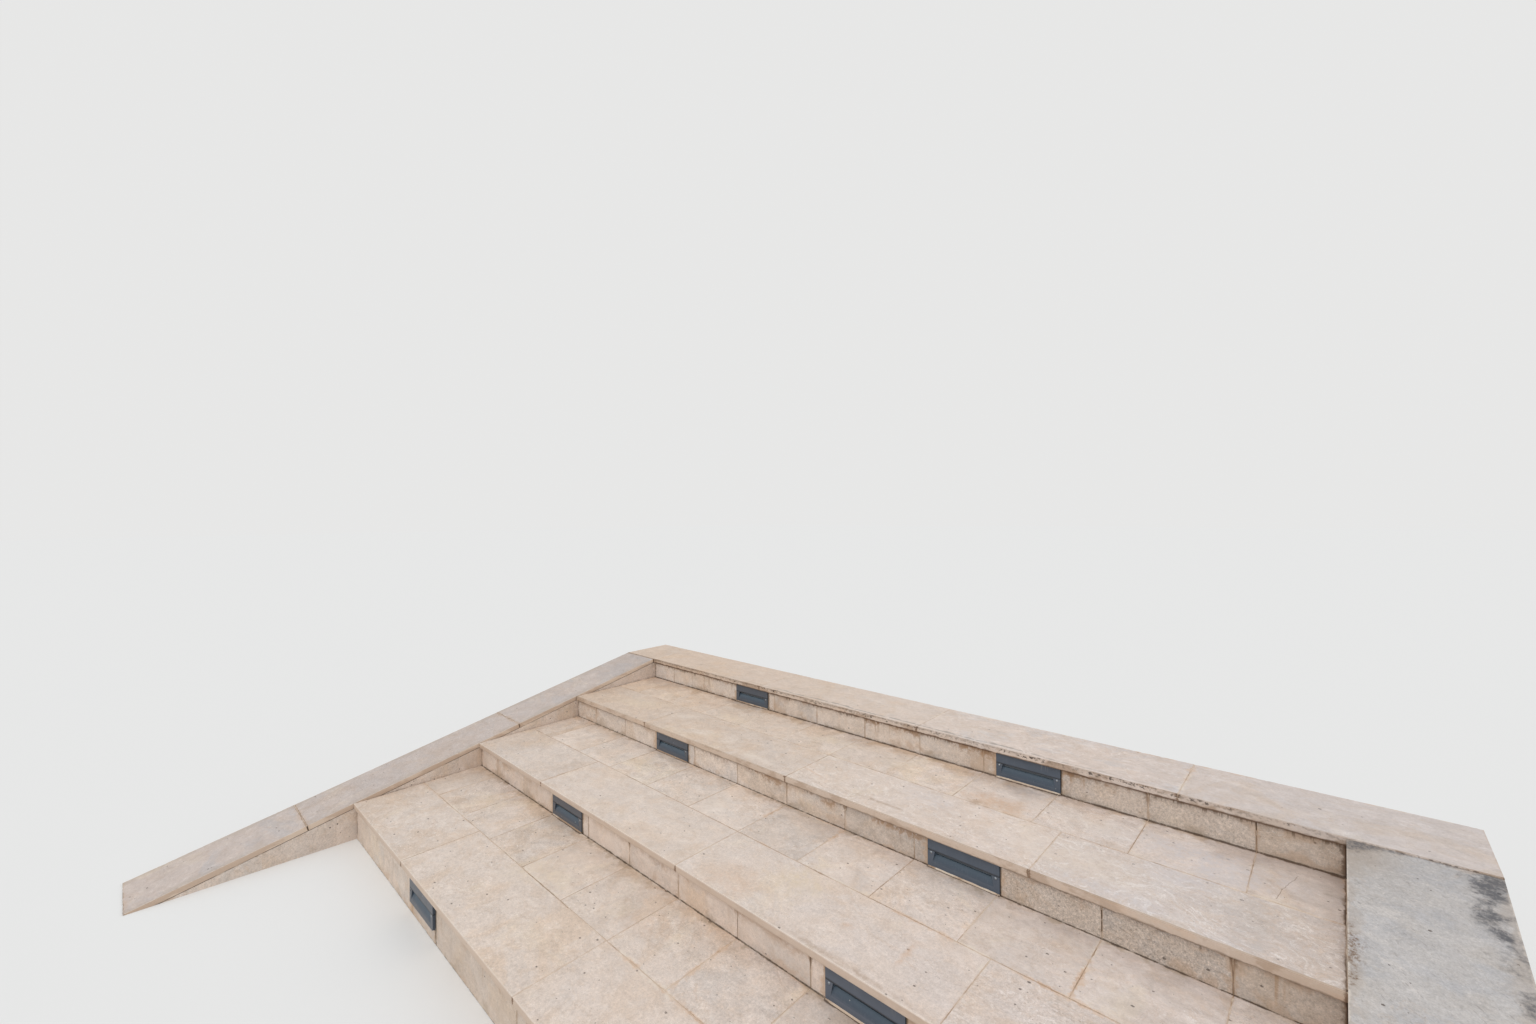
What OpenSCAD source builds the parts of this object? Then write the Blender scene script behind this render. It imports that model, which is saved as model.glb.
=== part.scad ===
// Outdoor stone steps: four risers between two raked copings.
// Thin limestone slabs are bedded in mortar on a stepped concrete core.
// Every riser holds a pair of recessed lights behind hooded plates.
// X runs across the flight, +Y up the flight, +Z up, base at z = 0.

/* [Flight] */
// Clear width between the two copings
clear_width = 3420; // [2600:10:4400]
// Height of each of the three upper steps
rise = 128; // [120:1:170]
// Height of the lowest step above the level the flight stands on
bottom_rise = 171; // [150:1:240]
// Depth of a step from nosing to nosing
going = 576; // [500:1:700]
// Fall of every tread towards its front, in percent
tread_fall = 1; // [0:0.1:1.5]

/* [Stone slabs] */
// Thickness of the tread, landing and coping slabs
slab_t = 23; // [18:1:30]
// Thickness of the upright riser and facing slabs
facing_t = 20; // [15:1:30]
// Overhang of a tread slab past the riser below it
overhang = 13; // [5:1:30]
// Depth of the front slabs of a tread
front_slab = 300; // [220:5:400]
// Length of the front, landing and coping slabs
long_slab = 1000; // [600:10:1400]
// Width of the rear tread slabs and of the riser slabs
short_slab = 300; // [200:10:450]
// Height of the lower course of facing slabs on the outer walls
facing_course = 270; // [150:5:400]
// Width of the joints between slabs
joint = 3; // [2:0.5:5]
// How far the mortar stays back from the face of the stone
joint_depth = 2; // [0.5:0.5:4]
// Width of the eased edge along the front of a slab
arris = 1.5; // [0.5:0.5:4]
// Thickness of the mortar bed under and behind the slabs
bed_t = 12; // [6:1:25]
// Shortest slab that is cut, where a row of slabs ends
least_piece = 40; // [20:5:80]

/* [Landing and copings] */
// Depth of the landing slabs at the head of the flight
landing_depth = 330; // [200:5:600]
// Width of each coping
coping_w = 300; // [200:5:450]
// Length of the slab at the toe of a coping
toe_slab = 585; // [400:1:900]
// Height of the cut end at the toe of a coping
toe_h = 4; // [2:1:10]
// Overhang of a coping past the outer face of its wall
coping_lip = 10; // [0:0.5:20]

/* [Step lights] */
// Distance of each light from the middle of the flight
light_x = 780; // [500:5:1000]
// Width of a light's front plate
light_w = 252; // [200:1:320]
// Height of the mortar left above and below a front plate
light_margin = 2.5; // [1:0.5:5]
// Gap beside a front plate
light_gap = 1.5; // [0.5:0.5:4]
// Thickness of a front plate
plate_t = 14; // [13:1:18]
// Radius of a front plate's corners
plate_corner = 4; // [1:0.5:8]
// How far a front plate stands out of the upper risers
plate_proud = 2.5; // [1:0.5:10]
// How far a front plate stands out of the lowest riser
low_plate_proud = 9; // [1:0.5:10]
// Distance from the top of a plate down to its slot
hood_h = 40; // [30:1:50]
// Width of the slot under the hood
slot_w = 198; // [140:1:200]
// Height of the slot under the hood
slot_h = 13; // [8:1:16]
// Depth of the scoop at the slot
scoop_depth = 11; // [5:0.5:12]
// Height of the plain rim below the scoop
scoop_rim = 10; // [4:1:14]
// How much wider the scoop is at its foot than at the slot, on either side
scoop_flare = 10; // [0:1:14]
// Depth of the light's housing behind the plate
housing_d = 60; // [45:1:90]
// Wall of the light's housing
housing_wall = 2; // [1.5:0.5:3]
// How far the housing stays back from the plate's edges
housing_inset = 7; // [5:1:9]
// Gap between a housing and the mortar around it
pocket_gap = 2; // [1:0.5:5]
// Thickness of the glass behind the slot
glass_t = 4; // [3:0.5:6]
// How far the glass reaches past the slot
glass_lap = 3; // [2:0.5:5]

/* [Hidden] */
$fn = 48;

// Number of risers, counted from the lowest step
steps = 4;
fall = tread_fall / 100;
slope = rise / going;
rake = atan(slope);

// Heights of coping and bed measured straight down
coping_v = slab_t / cos(rake);
coping_bed_v = joint / cos(rake);

// Plan of the flight, with y = 0 halfway between toe and back
toe_run = (bottom_rise - toe_h) / slope;
depth = toe_run + (steps - 1) * going + landing_depth;
y_toe = -depth / 2;
y_back = depth / 2;
half_clear = clear_width / 2;
half_outer = half_clear + coping_w;
outer_face_x = half_outer - coping_lip;

// Height of the bare riser that a front plate fills, and the plate in it
light_h = rise - slab_t - fall * going - 2 * light_margin;
light_open = light_w / 2 + light_gap;
slot_z = light_h - hood_h;
scoop_foot_w = slot_w + 2 * scoop_flare;
big = 4 * (clear_width + depth);
eps = 0.01;

function level(k) = bottom_rise + (k - 1) * rise;
function nosing_y(k) = y_toe + toe_run + (k - 1) * going;
function riser_y(k) = nosing_y(k) + overhang;

// Surface, underside and bed of the slabs of step k above a point y
function top_z(k, y) = level(k) + fall * (y - nosing_y(k));
function under_z(k, y) = top_z(k, y) - slab_t;
function bed_z(k, y) = under_z(k, y) - bed_t;

// Underside of riser k: the flight's base, or the bed of the tread below
function foot_z(k, y) = k == 1 ? 0 : under_z(k - 1, y);
function core_y(k) = riser_y(k) + facing_t + bed_t;

// Level of the foot of the opening that riser k leaves for its lights
function light_foot_z(k) = under_z(k, riser_y(k)) - 2 * light_margin - light_h;

// Rake line of the copings, and a point at distance s along it, d off it
function rake_z(y) = toe_h + slope * (y - y_toe);
function on_rake(s, d) = [
    y_toe + s * cos(rake) - d * sin(rake),
    toe_h + s * sin(rake) + d * cos(rake)
];
rake_end = (nosing_y(steps) - joint - y_toe) / cos(rake);

// Middles of the joints in a row that starts at the middle of the flight
function half_joints(pitch) = [
    for (x = [pitch : pitch : half_clear - least_piece]) x
];
function row_joints(pitch) = concat([0], half_joints(pitch), -half_joints(pitch));

// The same, without the joints that a light's opening takes away
function riser_joints(k) = [
    for (x = row_joints(k == 1 ? half_clear : short_slab))
        if (abs(abs(x) - light_x) > light_open + least_piece) x
];

// Landing joints run from the left coping's inner edge
function landing_joints() = [
    for (x = [-half_clear : long_slab : half_outer - least_piece]) x
];

// Coping joints, as distances along the rake from the toe
function coping_joints() = [
    for (s = [toe_slab : long_slab : rake_end - least_piece]) s
];

// Extrudes a profile drawn in y and z across the flight, from x0 to x1
module across(x0, x1) {
    translate([x0, 0, 0])
        rotate([90, 0, 90])
            linear_extrude(x1 - x0)
                children();
}

// A cut or a rib of one joint's width through a row of slabs at x
module joint_strip(x) {
    across(x - joint / 2, x + joint / 2) children();
}

module everywhere() {
    translate([-big, -big]) square(2 * big);
}

// Side profile of a level row of slabs of step k, from y0 to y1
module slab_profile(k, y0, y1, eased) {
    polygon([
        [y0, under_z(k, y0)],
        [y1, under_z(k, y1)],
        [y1, top_z(k, y1)],
        [y0 + eased, top_z(k, y0 + eased)],
        [y0, top_z(k, y0) - eased]
    ]);
}

module slab_row(k, y0, y1, x_end, joints, eased) {
    difference() {
        across(-x_end, x_end) slab_profile(k, y0, y1, eased);
        for (x = joints) joint_strip(x) everywhere();
    }
}

module riser_profile(k) {
    y0 = riser_y(k);
    y1 = y0 + facing_t;
    polygon([
        [y0, foot_z(k, y0)],
        [y1, foot_z(k, y1)],
        [y1, under_z(k, y1) - joint],
        [y0, under_z(k, y0) - joint]
    ]);
}

module riser(k) {
    color("tan")
    difference() {
        across(-half_clear + joint, half_clear - joint) riser_profile(k);
        for (x = riser_joints(k)) joint_strip(x) everywhere();
        for (side = [-1, 1])
            across(side * light_x - light_open, side * light_x + light_open) everywhere();
    }
    if (k == 1) light_sills();
}

// Low stones of the lowest riser, under its lights
module light_sills() {
    y = riser_y(1);
    height = light_foot_z(1) - joint;
    color("tan")
    for (side = [-1, 1])
        translate([side * light_x - light_open + joint, y, 0])
            cube([2 * (light_open - joint), facing_t, height]);
}

module tread_front(k) {
    y0 = nosing_y(k);
    color("wheat")
    slab_row(k, y0, y0 + front_slab, half_clear - joint, row_joints(long_slab), arris);
}

module tread_rear(k) {
    y0 = nosing_y(k) + front_slab + joint;
    y1 = riser_y(k + 1) - joint;
    color("wheat")
    slab_row(k, y0, y1, half_clear - joint, row_joints(short_slab), 0);
}

module landing_band() {
    color("wheat")
    slab_row(steps, nosing_y(steps), y_back, half_outer, landing_joints(), arris);
}

// Mortar behind riser k and under the slabs of step k
module bed_profile(k) {
    y0 = riser_y(k) + joint_depth;
    y1 = riser_y(k) + facing_t;
    y2 = core_y(k);
    y3 = k == steps ? y_back - facing_t : core_y(k + 1);
    polygon([
        [y0, under_z(k, y0) - joint],
        [y1, under_z(k, y1) - joint],
        [y1, foot_z(k, y1)],
        [y2, foot_z(k, y2)],
        [y2, bed_z(k, y2)],
        [y3, bed_z(k, y3)],
        [y3, under_z(k, y3)],
        [y0, under_z(k, y0)]
    ]);
}

// Mortar in an upright joint of the slabs of step k, from y0 to y1
module slab_joint_profile(k, y0, y1) {
    polygon([
        [y0, under_z(k, y0) - eps],
        [y1, under_z(k, y1) - eps],
        [y1, top_z(k, y1) - joint_depth],
        [y0, top_z(k, y0) - joint_depth]
    ]);
}

// Mortar in an upright joint of riser k
module riser_joint_profile(k) {
    y0 = riser_y(k) + joint_depth;
    y1 = riser_y(k) + facing_t + eps;
    polygon([
        [y0, foot_z(k, y0)],
        [y1, foot_z(k, y1)],
        [y1, under_z(k, y1) - joint + eps],
        [y0, under_z(k, y0) - joint + eps]
    ]);
}

module tread_joints(k) {
    y0 = nosing_y(k) + joint_depth;
    y1 = nosing_y(k) + front_slab;
    y2 = y1 + joint;
    y3 = riser_y(k + 1) - joint;
    for (x = row_joints(long_slab)) joint_strip(x) slab_joint_profile(k, y0, y2);
    for (x = row_joints(short_slab)) joint_strip(x) slab_joint_profile(k, y1, y3);
    across(-half_clear, half_clear) slab_joint_profile(k, y1, y2);
    across(-half_clear, half_clear) slab_joint_profile(k, y3, y3 + joint);
    for (side = [-1, 1])
        across_side(side, half_clear - joint, half_clear) slab_joint_profile(k, y0, y3 + joint);
}

// Extrudes between two distances from the middle, on one side of the flight
module across_side(side, near, far) {
    across(side > 0 ? near : -far, side > 0 ? far : -near) children();
}

module mortar(k) {
    color("rosybrown")
    difference() {
        union() {
            across(-half_clear, half_clear) bed_profile(k);
            for (x = riser_joints(k)) joint_strip(x) riser_joint_profile(k);
            for (side = [-1, 1]) {
                across_side(side, half_clear - joint, half_clear) riser_joint_profile(k);
                across_side(side, light_x - light_open, light_x + light_open)
                    riser_joint_profile(k);
            }
            if (k < steps) tread_joints(k);
            if (k == steps) landing_joint_ribs();
        }
        light_pockets(k);
        if (k == 1) light_sills();
    }
}

module landing_joint_ribs() {
    y0 = nosing_y(steps) + joint_depth;
    for (x = landing_joints())
        if (abs(x) < half_clear - joint)
            joint_strip(x) slab_joint_profile(steps, y0, y_back - joint_depth);
}

// Stepped concrete under the flight, with a pocket for every light
module core_profile() {
    polygon(concat(
        [[core_y(1), 0]],
        [for (k = [1 : steps]) each [
            [core_y(k), bed_z(k, core_y(k))],
            k == steps
                ? [y_back - facing_t, bed_z(k, y_back - facing_t)]
                : [core_y(k + 1), bed_z(k, core_y(k + 1))]
        ]],
        [[y_back - facing_t, 0]]
    ));
}

module stair_core() {
    color("gray")
    difference() {
        across(-half_clear, half_clear) core_profile();
        for (k = [1 : steps]) light_pockets(k);
    }
}

// Side profile of a cheek wall: raked below the coping, level below the landing
module cheek_profile() {
    y_land = nosing_y(steps);
    drop = coping_v + coping_bed_v;
    polygon([
        [y_toe + (drop - toe_h) / slope, 0],
        [y_back, 0],
        [y_back, under_z(steps, y_back) - joint],
        [y_land, under_z(steps, y_land) - joint],
        [y_land, rake_z(y_land) - drop]
    ]);
}

// Facing slabs of a cheek wall, cut to the rake, from course to course
module cheek_facing(joints, courses) {
    difference() {
        cheek_profile();
        for (y = joints) translate([y - joint / 2, -big]) square([joint, 2 * big]);
        for (z = courses) translate([-big, z - joint / 2]) square([2 * big, joint]);
    }
}

module cheek_wall(side) {
    color("gray")
    across_side(side, half_clear + facing_t, outer_face_x - facing_t)
        intersection() {
            cheek_profile();
            translate([-big, 0]) square([big + y_back - facing_t, big]);
        }
}

module cheek_inner_face(side) {
    joints = [for (k = [1 : steps]) riser_y(k) + facing_t / 2];
    color("tan")
    across_side(side, half_clear, half_clear + facing_t)
        intersection() {
            cheek_facing(joints, []);
            translate([-big, 0]) square([big + y_back - facing_t, big]);
        }
}

module cheek_outer_face(side) {
    joints = [for (y = [y_back - long_slab : -long_slab : y_toe]) y];
    color("tan")
    across_side(side, outer_face_x - facing_t, outer_face_x)
        cheek_facing(joints, [facing_course]);
}

module back_face() {
    y0 = y_back - facing_t;
    width = outer_face_x - facing_t;
    joints = [for (x = [0 : long_slab : width - least_piece]) x];
    color("tan")
    difference() {
        across(-width, width)
            polygon([
                [y0, 0],
                [y_back, 0],
                [y_back, under_z(steps, y_back) - joint],
                [y0, under_z(steps, y0) - joint]
            ]);
        for (x = concat(joints, -joints)) joint_strip(x) everywhere();
        across(-big, big)
            translate([-big, facing_course - joint / 2]) square([2 * big, joint]);
    }
}

// Thin mortar bed between a cheek wall and its coping and landing slab
module coping_bed(side) {
    y_land = nosing_y(steps);
    y_end = y_back - joint_depth;
    drop = coping_v + coping_bed_v;
    color("rosybrown")
    across_side(side, half_clear + joint_depth, outer_face_x - joint_depth)
        polygon([
            [y_toe + (coping_v - toe_h) / slope, 0],
            [y_toe + (drop - toe_h) / slope, 0],
            [y_land, rake_z(y_land) - drop],
            [y_land, under_z(steps, y_land) - joint],
            [y_end, under_z(steps, y_end) - joint],
            [y_end, under_z(steps, y_end)],
            [y_land, under_z(steps, y_land)],
            [y_land, rake_z(y_land) - coping_v]
        ]);
}

module coping_profile() {
    intersection() {
        difference() {
            polygon([
                on_rake(-slab_t, 0),
                on_rake(rake_end + slab_t, 0),
                on_rake(rake_end + slab_t, -slab_t),
                on_rake(-slab_t, -slab_t)
            ]);
            for (s = coping_joints())
                polygon([
                    on_rake(s, slab_t),
                    on_rake(s + joint, slab_t),
                    on_rake(s + joint, -2 * slab_t),
                    on_rake(s, -2 * slab_t)
                ]);
        }
        translate([y_toe, 0])
            square([nosing_y(steps) - joint - y_toe, big]);
    }
}

module coping(side) {
    color("gainsboro")
    across_side(side, half_clear, half_outer) coping_profile();
}

// Places children in both lights of riser k: x = 0 in the middle of the plate,
// y = 0 on the plate's front, z = 0 on its lower edge
module at_lights(k) {
    proud = k == 1 ? low_plate_proud : plate_proud;
    y = riser_y(k);
    for (side = [-1, 1])
        translate([side * light_x, y - proud, under_z(k, y) - light_margin - light_h])
            children();
}

// Box in x, y and z, centred on x = 0
module light_box(w, y0, y1, z0, z1) {
    translate([-w / 2, y0, z0]) cube([w, y1 - y0, z1 - z0]);
}

// Room that the plates and their housings take in the mortar and the core
module light_pockets(k) {
    at_lights(k) {
        light_box(2 * light_open, -big, plate_t, -light_gap / 2, light_h + light_gap / 2);
        light_box(
            light_w - 2 * housing_inset + 2 * pocket_gap,
            0,
            plate_t + housing_d + pocket_gap,
            housing_inset - pocket_gap,
            light_h - housing_inset + pocket_gap
        );
    }
}

// Stands a shape drawn in x and z upright, from y0 back to y1
module upright(y0, y1) {
    translate([0, y1, 0])
        rotate([90, 0, 0])
            linear_extrude(y1 - y0)
                children();
}

module plate_outline() {
    x = light_w / 2 - plate_corner;
    z0 = plate_corner;
    z1 = light_h - plate_corner;
    translate([-x, 0]) square([2 * x, light_h]);
    translate([-light_w / 2, z0]) square([light_w, z1 - z0]);
    for (cx = [-x, x], cz = [z0, z1]) translate([cx, cz]) circle(r = plate_corner);
}

// Section of the scoop: its floor leaves the plate's face at the rim and
// curves back and up, along an arc, to the foot of the slot
module scoop_section() {
    run = slot_z - slot_h - scoop_rim;
    radius = (run * run + scoop_depth * scoop_depth) / (2 * scoop_depth);
    difference() {
        translate([-1, scoop_rim]) square([scoop_depth + 1, slot_z - scoop_rim]);
        translate([radius, scoop_rim]) circle(r = radius, $fn = 96);
    }
}

// The scoop's ends lean outwards from the slot down to its foot
module scoop() {
    intersection() {
        across(-light_w / 2, light_w / 2) scoop_section();
        upright(-1, scoop_depth)
            polygon([
                [-scoop_foot_w / 2, scoop_rim],
                [scoop_foot_w / 2, scoop_rim],
                [slot_w / 2, slot_z],
                [-slot_w / 2, slot_z]
            ]);
    }
}

// The slot opens from the back of the scoop, under the hood
module light_plate() {
    difference() {
        upright(0, plate_t) plate_outline();
        scoop();
        light_box(slot_w, 0, plate_t + 1, slot_z - slot_h, slot_z);
    }
}

module light_plates(k) {
    color("darkslategray")
    at_lights(k) light_plate();
}

// Box behind the plate, open to the slot
module light_housings(k) {
    w = light_w - 2 * housing_inset;
    z0 = housing_inset;
    z1 = light_h - housing_inset;
    color("silver")
    at_lights(k)
        difference() {
            light_box(w, plate_t, plate_t + housing_d, z0, z1);
            light_box(
                w - 2 * housing_wall,
                0,
                plate_t + housing_d - housing_wall,
                z0 + housing_wall,
                z1 - housing_wall
            );
        }
}

// Pane on the back of the plate, over the slot
module light_glass(k) {
    w = slot_w + 2 * glass_lap;
    color("azure")
    at_lights(k)
        light_box(w, plate_t, plate_t + glass_t, slot_z - slot_h - glass_lap, slot_z + glass_lap);
}

stair_core();
mortar(1);  // mortar_1
mortar(2);  // mortar_2
mortar(3);  // mortar_3
mortar(4);  // mortar_4
riser(1);  // riser_1
riser(2);  // riser_2
riser(3);  // riser_3
riser(4);  // riser_4
tread_front(1);  // tread_front_1
tread_front(2);  // tread_front_2
tread_front(3);  // tread_front_3
tread_rear(1);  // tread_rear_1
tread_rear(2);  // tread_rear_2
tread_rear(3);  // tread_rear_3
landing_band();
cheek_wall(-1);  // left_cheek_wall
cheek_wall(1);  // right_cheek_wall
cheek_inner_face(-1);  // left_cheek_inner_face
cheek_inner_face(1);  // right_cheek_inner_face
cheek_outer_face(-1);  // left_cheek_outer_face
cheek_outer_face(1);  // right_cheek_outer_face
coping_bed(-1);  // left_coping_bed
coping_bed(1);  // right_coping_bed
coping(-1);  // left_coping
coping(1);  // right_coping
back_face();
light_plates(1);  // light_plates_1
light_plates(2);  // light_plates_2
light_plates(3);  // light_plates_3
light_plates(4);  // light_plates_4
light_housings(1);  // light_housings_1
light_housings(2);  // light_housings_2
light_housings(3);  // light_housings_3
light_housings(4);  // light_housings_4
light_glass(1);  // light_glass_1
light_glass(2);  // light_glass_2
light_glass(3);  // light_glass_3
light_glass(4);  // light_glass_4
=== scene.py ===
# %% [markdown]
# # Outdoor stone steps
#
# A wide, low flight of four steps, clad in thin limestone slabs between two raked copings,
# with a pair of recessed lights in every riser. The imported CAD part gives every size. This
# lesson dresses it: each slab gets eased and chipped edges, each finish is a procedural
# material, and rain, dust and feet leave their marks where they do on real steps.

import math
import random

import bmesh
import bpy
import numpy as np
from mathutils import Matrix, Vector, noise


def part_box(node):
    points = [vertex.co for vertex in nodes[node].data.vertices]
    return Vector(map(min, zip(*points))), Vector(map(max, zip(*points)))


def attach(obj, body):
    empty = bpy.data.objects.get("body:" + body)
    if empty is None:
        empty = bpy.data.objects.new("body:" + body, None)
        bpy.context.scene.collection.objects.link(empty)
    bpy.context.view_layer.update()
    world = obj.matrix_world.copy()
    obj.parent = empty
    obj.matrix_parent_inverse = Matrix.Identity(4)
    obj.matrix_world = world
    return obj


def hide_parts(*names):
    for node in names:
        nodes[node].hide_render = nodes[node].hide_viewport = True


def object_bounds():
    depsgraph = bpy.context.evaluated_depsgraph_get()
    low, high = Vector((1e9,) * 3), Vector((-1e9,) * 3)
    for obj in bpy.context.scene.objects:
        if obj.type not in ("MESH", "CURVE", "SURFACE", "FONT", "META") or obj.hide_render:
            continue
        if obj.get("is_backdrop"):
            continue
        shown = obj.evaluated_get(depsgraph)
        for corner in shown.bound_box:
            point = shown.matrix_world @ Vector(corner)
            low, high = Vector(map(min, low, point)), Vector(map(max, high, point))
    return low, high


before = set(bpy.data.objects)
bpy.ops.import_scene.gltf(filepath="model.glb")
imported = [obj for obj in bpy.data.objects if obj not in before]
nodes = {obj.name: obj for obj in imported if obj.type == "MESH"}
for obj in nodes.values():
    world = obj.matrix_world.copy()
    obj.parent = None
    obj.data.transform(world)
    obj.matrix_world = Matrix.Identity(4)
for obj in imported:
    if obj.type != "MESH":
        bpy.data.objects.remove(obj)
cad_low, cad_high = [list(map(float, corner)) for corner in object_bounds()]
print("CAD box", [round(high - low, 4) for low, high in zip(cad_low, cad_high)])

# %% [markdown]
# ## The camera
#
# The eye stands over the front of the flight, near its right end and about a metre above
# the landing's level, and looks almost level and to the left through a wide lens. Its
# place, its three angles and its focal length were solved together from the slab edges, so
# that the render lies over the photograph. A matrix built from plain rotations keeps each
# angle readable: first the roll about the line of sight, then the tilt, then the turn.

# %% Camera
EYE = Vector((1.7142, -1.4084, 1.5146))
TURN_LEFT = math.radians(43.345)
TILT_UP = math.radians(0.465)
ROLL = math.radians(-0.391)
FOCAL_IN_PIXELS = 609.86
PICTURE_WIDTH = 1536


def into_scene(name, data):
    """Makes an object from a mesh, a lamp or a camera, and links it to the scene."""
    made = bpy.data.objects.new(name, data)
    bpy.context.scene.collection.objects.link(made)
    return made


camera_data = bpy.data.cameras.new("camera")
camera_data.sensor_width = 36.0
camera_data.lens = FOCAL_IN_PIXELS * camera_data.sensor_width / PICTURE_WIDTH
camera_data.clip_start = 0.01
camera_data.clip_end = 200.0
camera = into_scene("camera", camera_data)
camera.matrix_world = (
    Matrix.Translation(EYE)
    @ Matrix.Rotation(TURN_LEFT, 4, "Z")
    @ Matrix.Rotation(math.pi / 2 + TILT_UP, 4, "X")
    @ Matrix.Rotation(ROLL, 4, "Z")
)
bpy.context.scene.camera = camera
print("lens", round(camera_data.lens, 2), "mm")

# %% [markdown]
# ## Signals in place of boxes and wires
#
# A world or a material is a small program drawn as boxes and wires. Written in Python, each
# box takes four or five lines, which hides the idea. Here a node's output is a signal, and
# arithmetic with signals places the Math nodes by itself, so a formula reads as a formula.
# Square brackets give another output of the same node. A socket knows the tree that it is
# in, so a helper puts its new node there without being told.

# %% Signals
class Signal:
    """One output of a shader node, which takes part in arithmetic."""

    def __init__(self, socket):
        self.socket = socket
        self.tree = socket.id_data

    def __getitem__(self, output):
        return Signal(self.socket.node.outputs[output])

    def __add__(self, other):
        return maths("ADD", self, other)

    def __sub__(self, other):
        return maths("SUBTRACT", self, other)

    def __rsub__(self, other):
        return maths("SUBTRACT", other, self)

    def __mul__(self, other):
        return maths("MULTIPLY", self, other)

    def __truediv__(self, other):
        return maths("DIVIDE", self, other)

    def __rtruediv__(self, other):
        return maths("DIVIDE", other, self)

    def __abs__(self):
        return maths("ABSOLUTE", self)


def feed(node, values):
    """Wires signals into a node's inputs and sets its other inputs by value."""
    for title, value in values.items():
        entry = node.inputs[title]
        if isinstance(value, Signal):
            value.tree.links.new(value.socket, entry)
        else:
            entry.default_value = (*value, 1.0) if entry.type == "RGBA" else value


def put(kind, values=None, output=0, tree=None, **options):
    """Adds one shader node, sets its options, feeds it and returns one output."""
    values = values or {}
    tree = tree or next(v.tree for v in values.values() if isinstance(v, Signal))
    made = tree.nodes.new("ShaderNode" + kind)
    for option, value in options.items():
        setattr(made, option, value)
    feed(made, values)
    return Signal(made.outputs[output]) if made.outputs else None


def maths(operation, *values):
    """One step of arithmetic."""
    return put("Math", dict(enumerate(values)), operation=operation)

# %% Helpers for masks, colours and patterns
def smallest(first, *others):
    """The smallest of several signals."""
    for other in others:
        first = maths("MINIMUM", first, other)
    return first


def largest(first, *others):
    """The largest of several signals."""
    for other in others:
        first = maths("MAXIMUM", first, other)
    return first


def fade(value, start, end):
    """0 where value is at start, 1 where it is at end, with a smooth way between."""
    limits = {"Value": value, "From Min": start, "From Max": end}
    return put("MapRange", limits, interpolation_type="SMOOTHSTEP")


def blend(mask, below, above, how="MIX"):
    """Lays one colour over another through a mask."""
    return put("Mix", {0: mask, 6: below, 7: above}, 2, data_type="RGBA", blend_type=how)


def shade(mask, colour, tint):
    """Darkens or tints a colour through a mask, by multiplying."""
    return blend(mask, colour, tint, "MULTIPLY")


def cloud(place, scale, detail=3.0, roughness=0.55, distortion=0.0):
    """A Noise texture's value, around 0.5. The scale is in cycles to the metre."""
    return put("TexNoise", {"Vector": place, "Scale": scale, "Detail": detail,
                            "Roughness": roughness, "Distortion": distortion})


def stretched(place, x, y, z, shift=(0.0, 0.0, 0.0)):
    """The same place in other units, to stretch or move a pattern."""
    return put("Mapping", {"Vector": place, "Location": shift, "Scale": (x, y, z)})


def moved(place, x, y, z):
    """Another part of the same pattern."""
    return stretched(place, 1.0, 1.0, 1.0, (x, y, z))


def moved_by(place, vector, strength):
    """A place pushed aside by a noise's colour, to bend a pattern."""
    centred = put("VectorMath", {0: vector, 1: (0.5, 0.5, 0.5)}, operation="SUBTRACT")
    scaled = put("VectorMath", {0: centred, 1: strength}, operation="MULTIPLY")
    return put("VectorMath", {0: place, 1: scaled}, operation="ADD")

# %% Helpers for shader groups
SOCKET_KINDS = {type(None): "Vector", float: "Float", tuple: "Color"}


def new_group(name, inputs, outputs=("Mask",)):
    """An empty shader group; returns it with its inputs, as signals, and its exit."""
    tree = bpy.data.node_groups.new(name, "ShaderNodeTree")
    for title, value in inputs.items():
        kind = "NodeSocket" + SOCKET_KINDS[type(value)]
        made = tree.interface.new_socket(title, in_out="INPUT", socket_type=kind)
        if value is not None:
            made.default_value = (*value, 1.0) if isinstance(value, tuple) else value
    for title in outputs:
        kind = "NodeSocketColor" if title == "Color" else "NodeSocketFloat"
        tree.interface.new_socket(title, in_out="OUTPUT", socket_type=kind)
    given = Signal(tree.nodes.new("NodeGroupInput").outputs[0])
    return tree, given, tree.nodes.new("NodeGroupOutput")


def use_group(group, values):
    """Places a shader group, feeds it and returns its first output."""
    return put("Group", values, node_tree=group)

# %% [markdown]
# ## Light, sky and floor
#
# Outdoors under thin cloud the light is soft and comes from the whole sky, a little more
# from where the sun stands behind the cloud. An almost white world gives the first, and a
# sun lamp with a very wide disc the second. Their strengths add up to about one on a level
# surface, so a colour renders much as it is written. Rays from the camera see a backdrop in
# place of the sky, and so do reflections, which Light Path sorts out.

# %% World and lamp
SKY_COLOUR = (0.97, 0.985, 1.0)
SKY_STRENGTH = 0.76
PALE_GREY = (0.80, 0.80, 0.795)

world = bpy.data.worlds.new("soft sky")
bpy.context.scene.world = world
world.use_nodes = True
tree = world.node_tree
tree.nodes.clear()
rays = put("LightPath", tree=tree)
seen = largest(rays["Is Camera Ray"], rays["Is Glossy Ray"], rays["Is Transmission Ray"])
lighting = put("Background", {"Color": SKY_COLOUR, "Strength": SKY_STRENGTH}, tree=tree)
backdrop = put("Background", {"Color": PALE_GREY, "Strength": 1.0}, tree=tree)
put("OutputWorld", {"Surface": put("MixShader", {0: seen, 1: lighting, 2: backdrop})})

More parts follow.
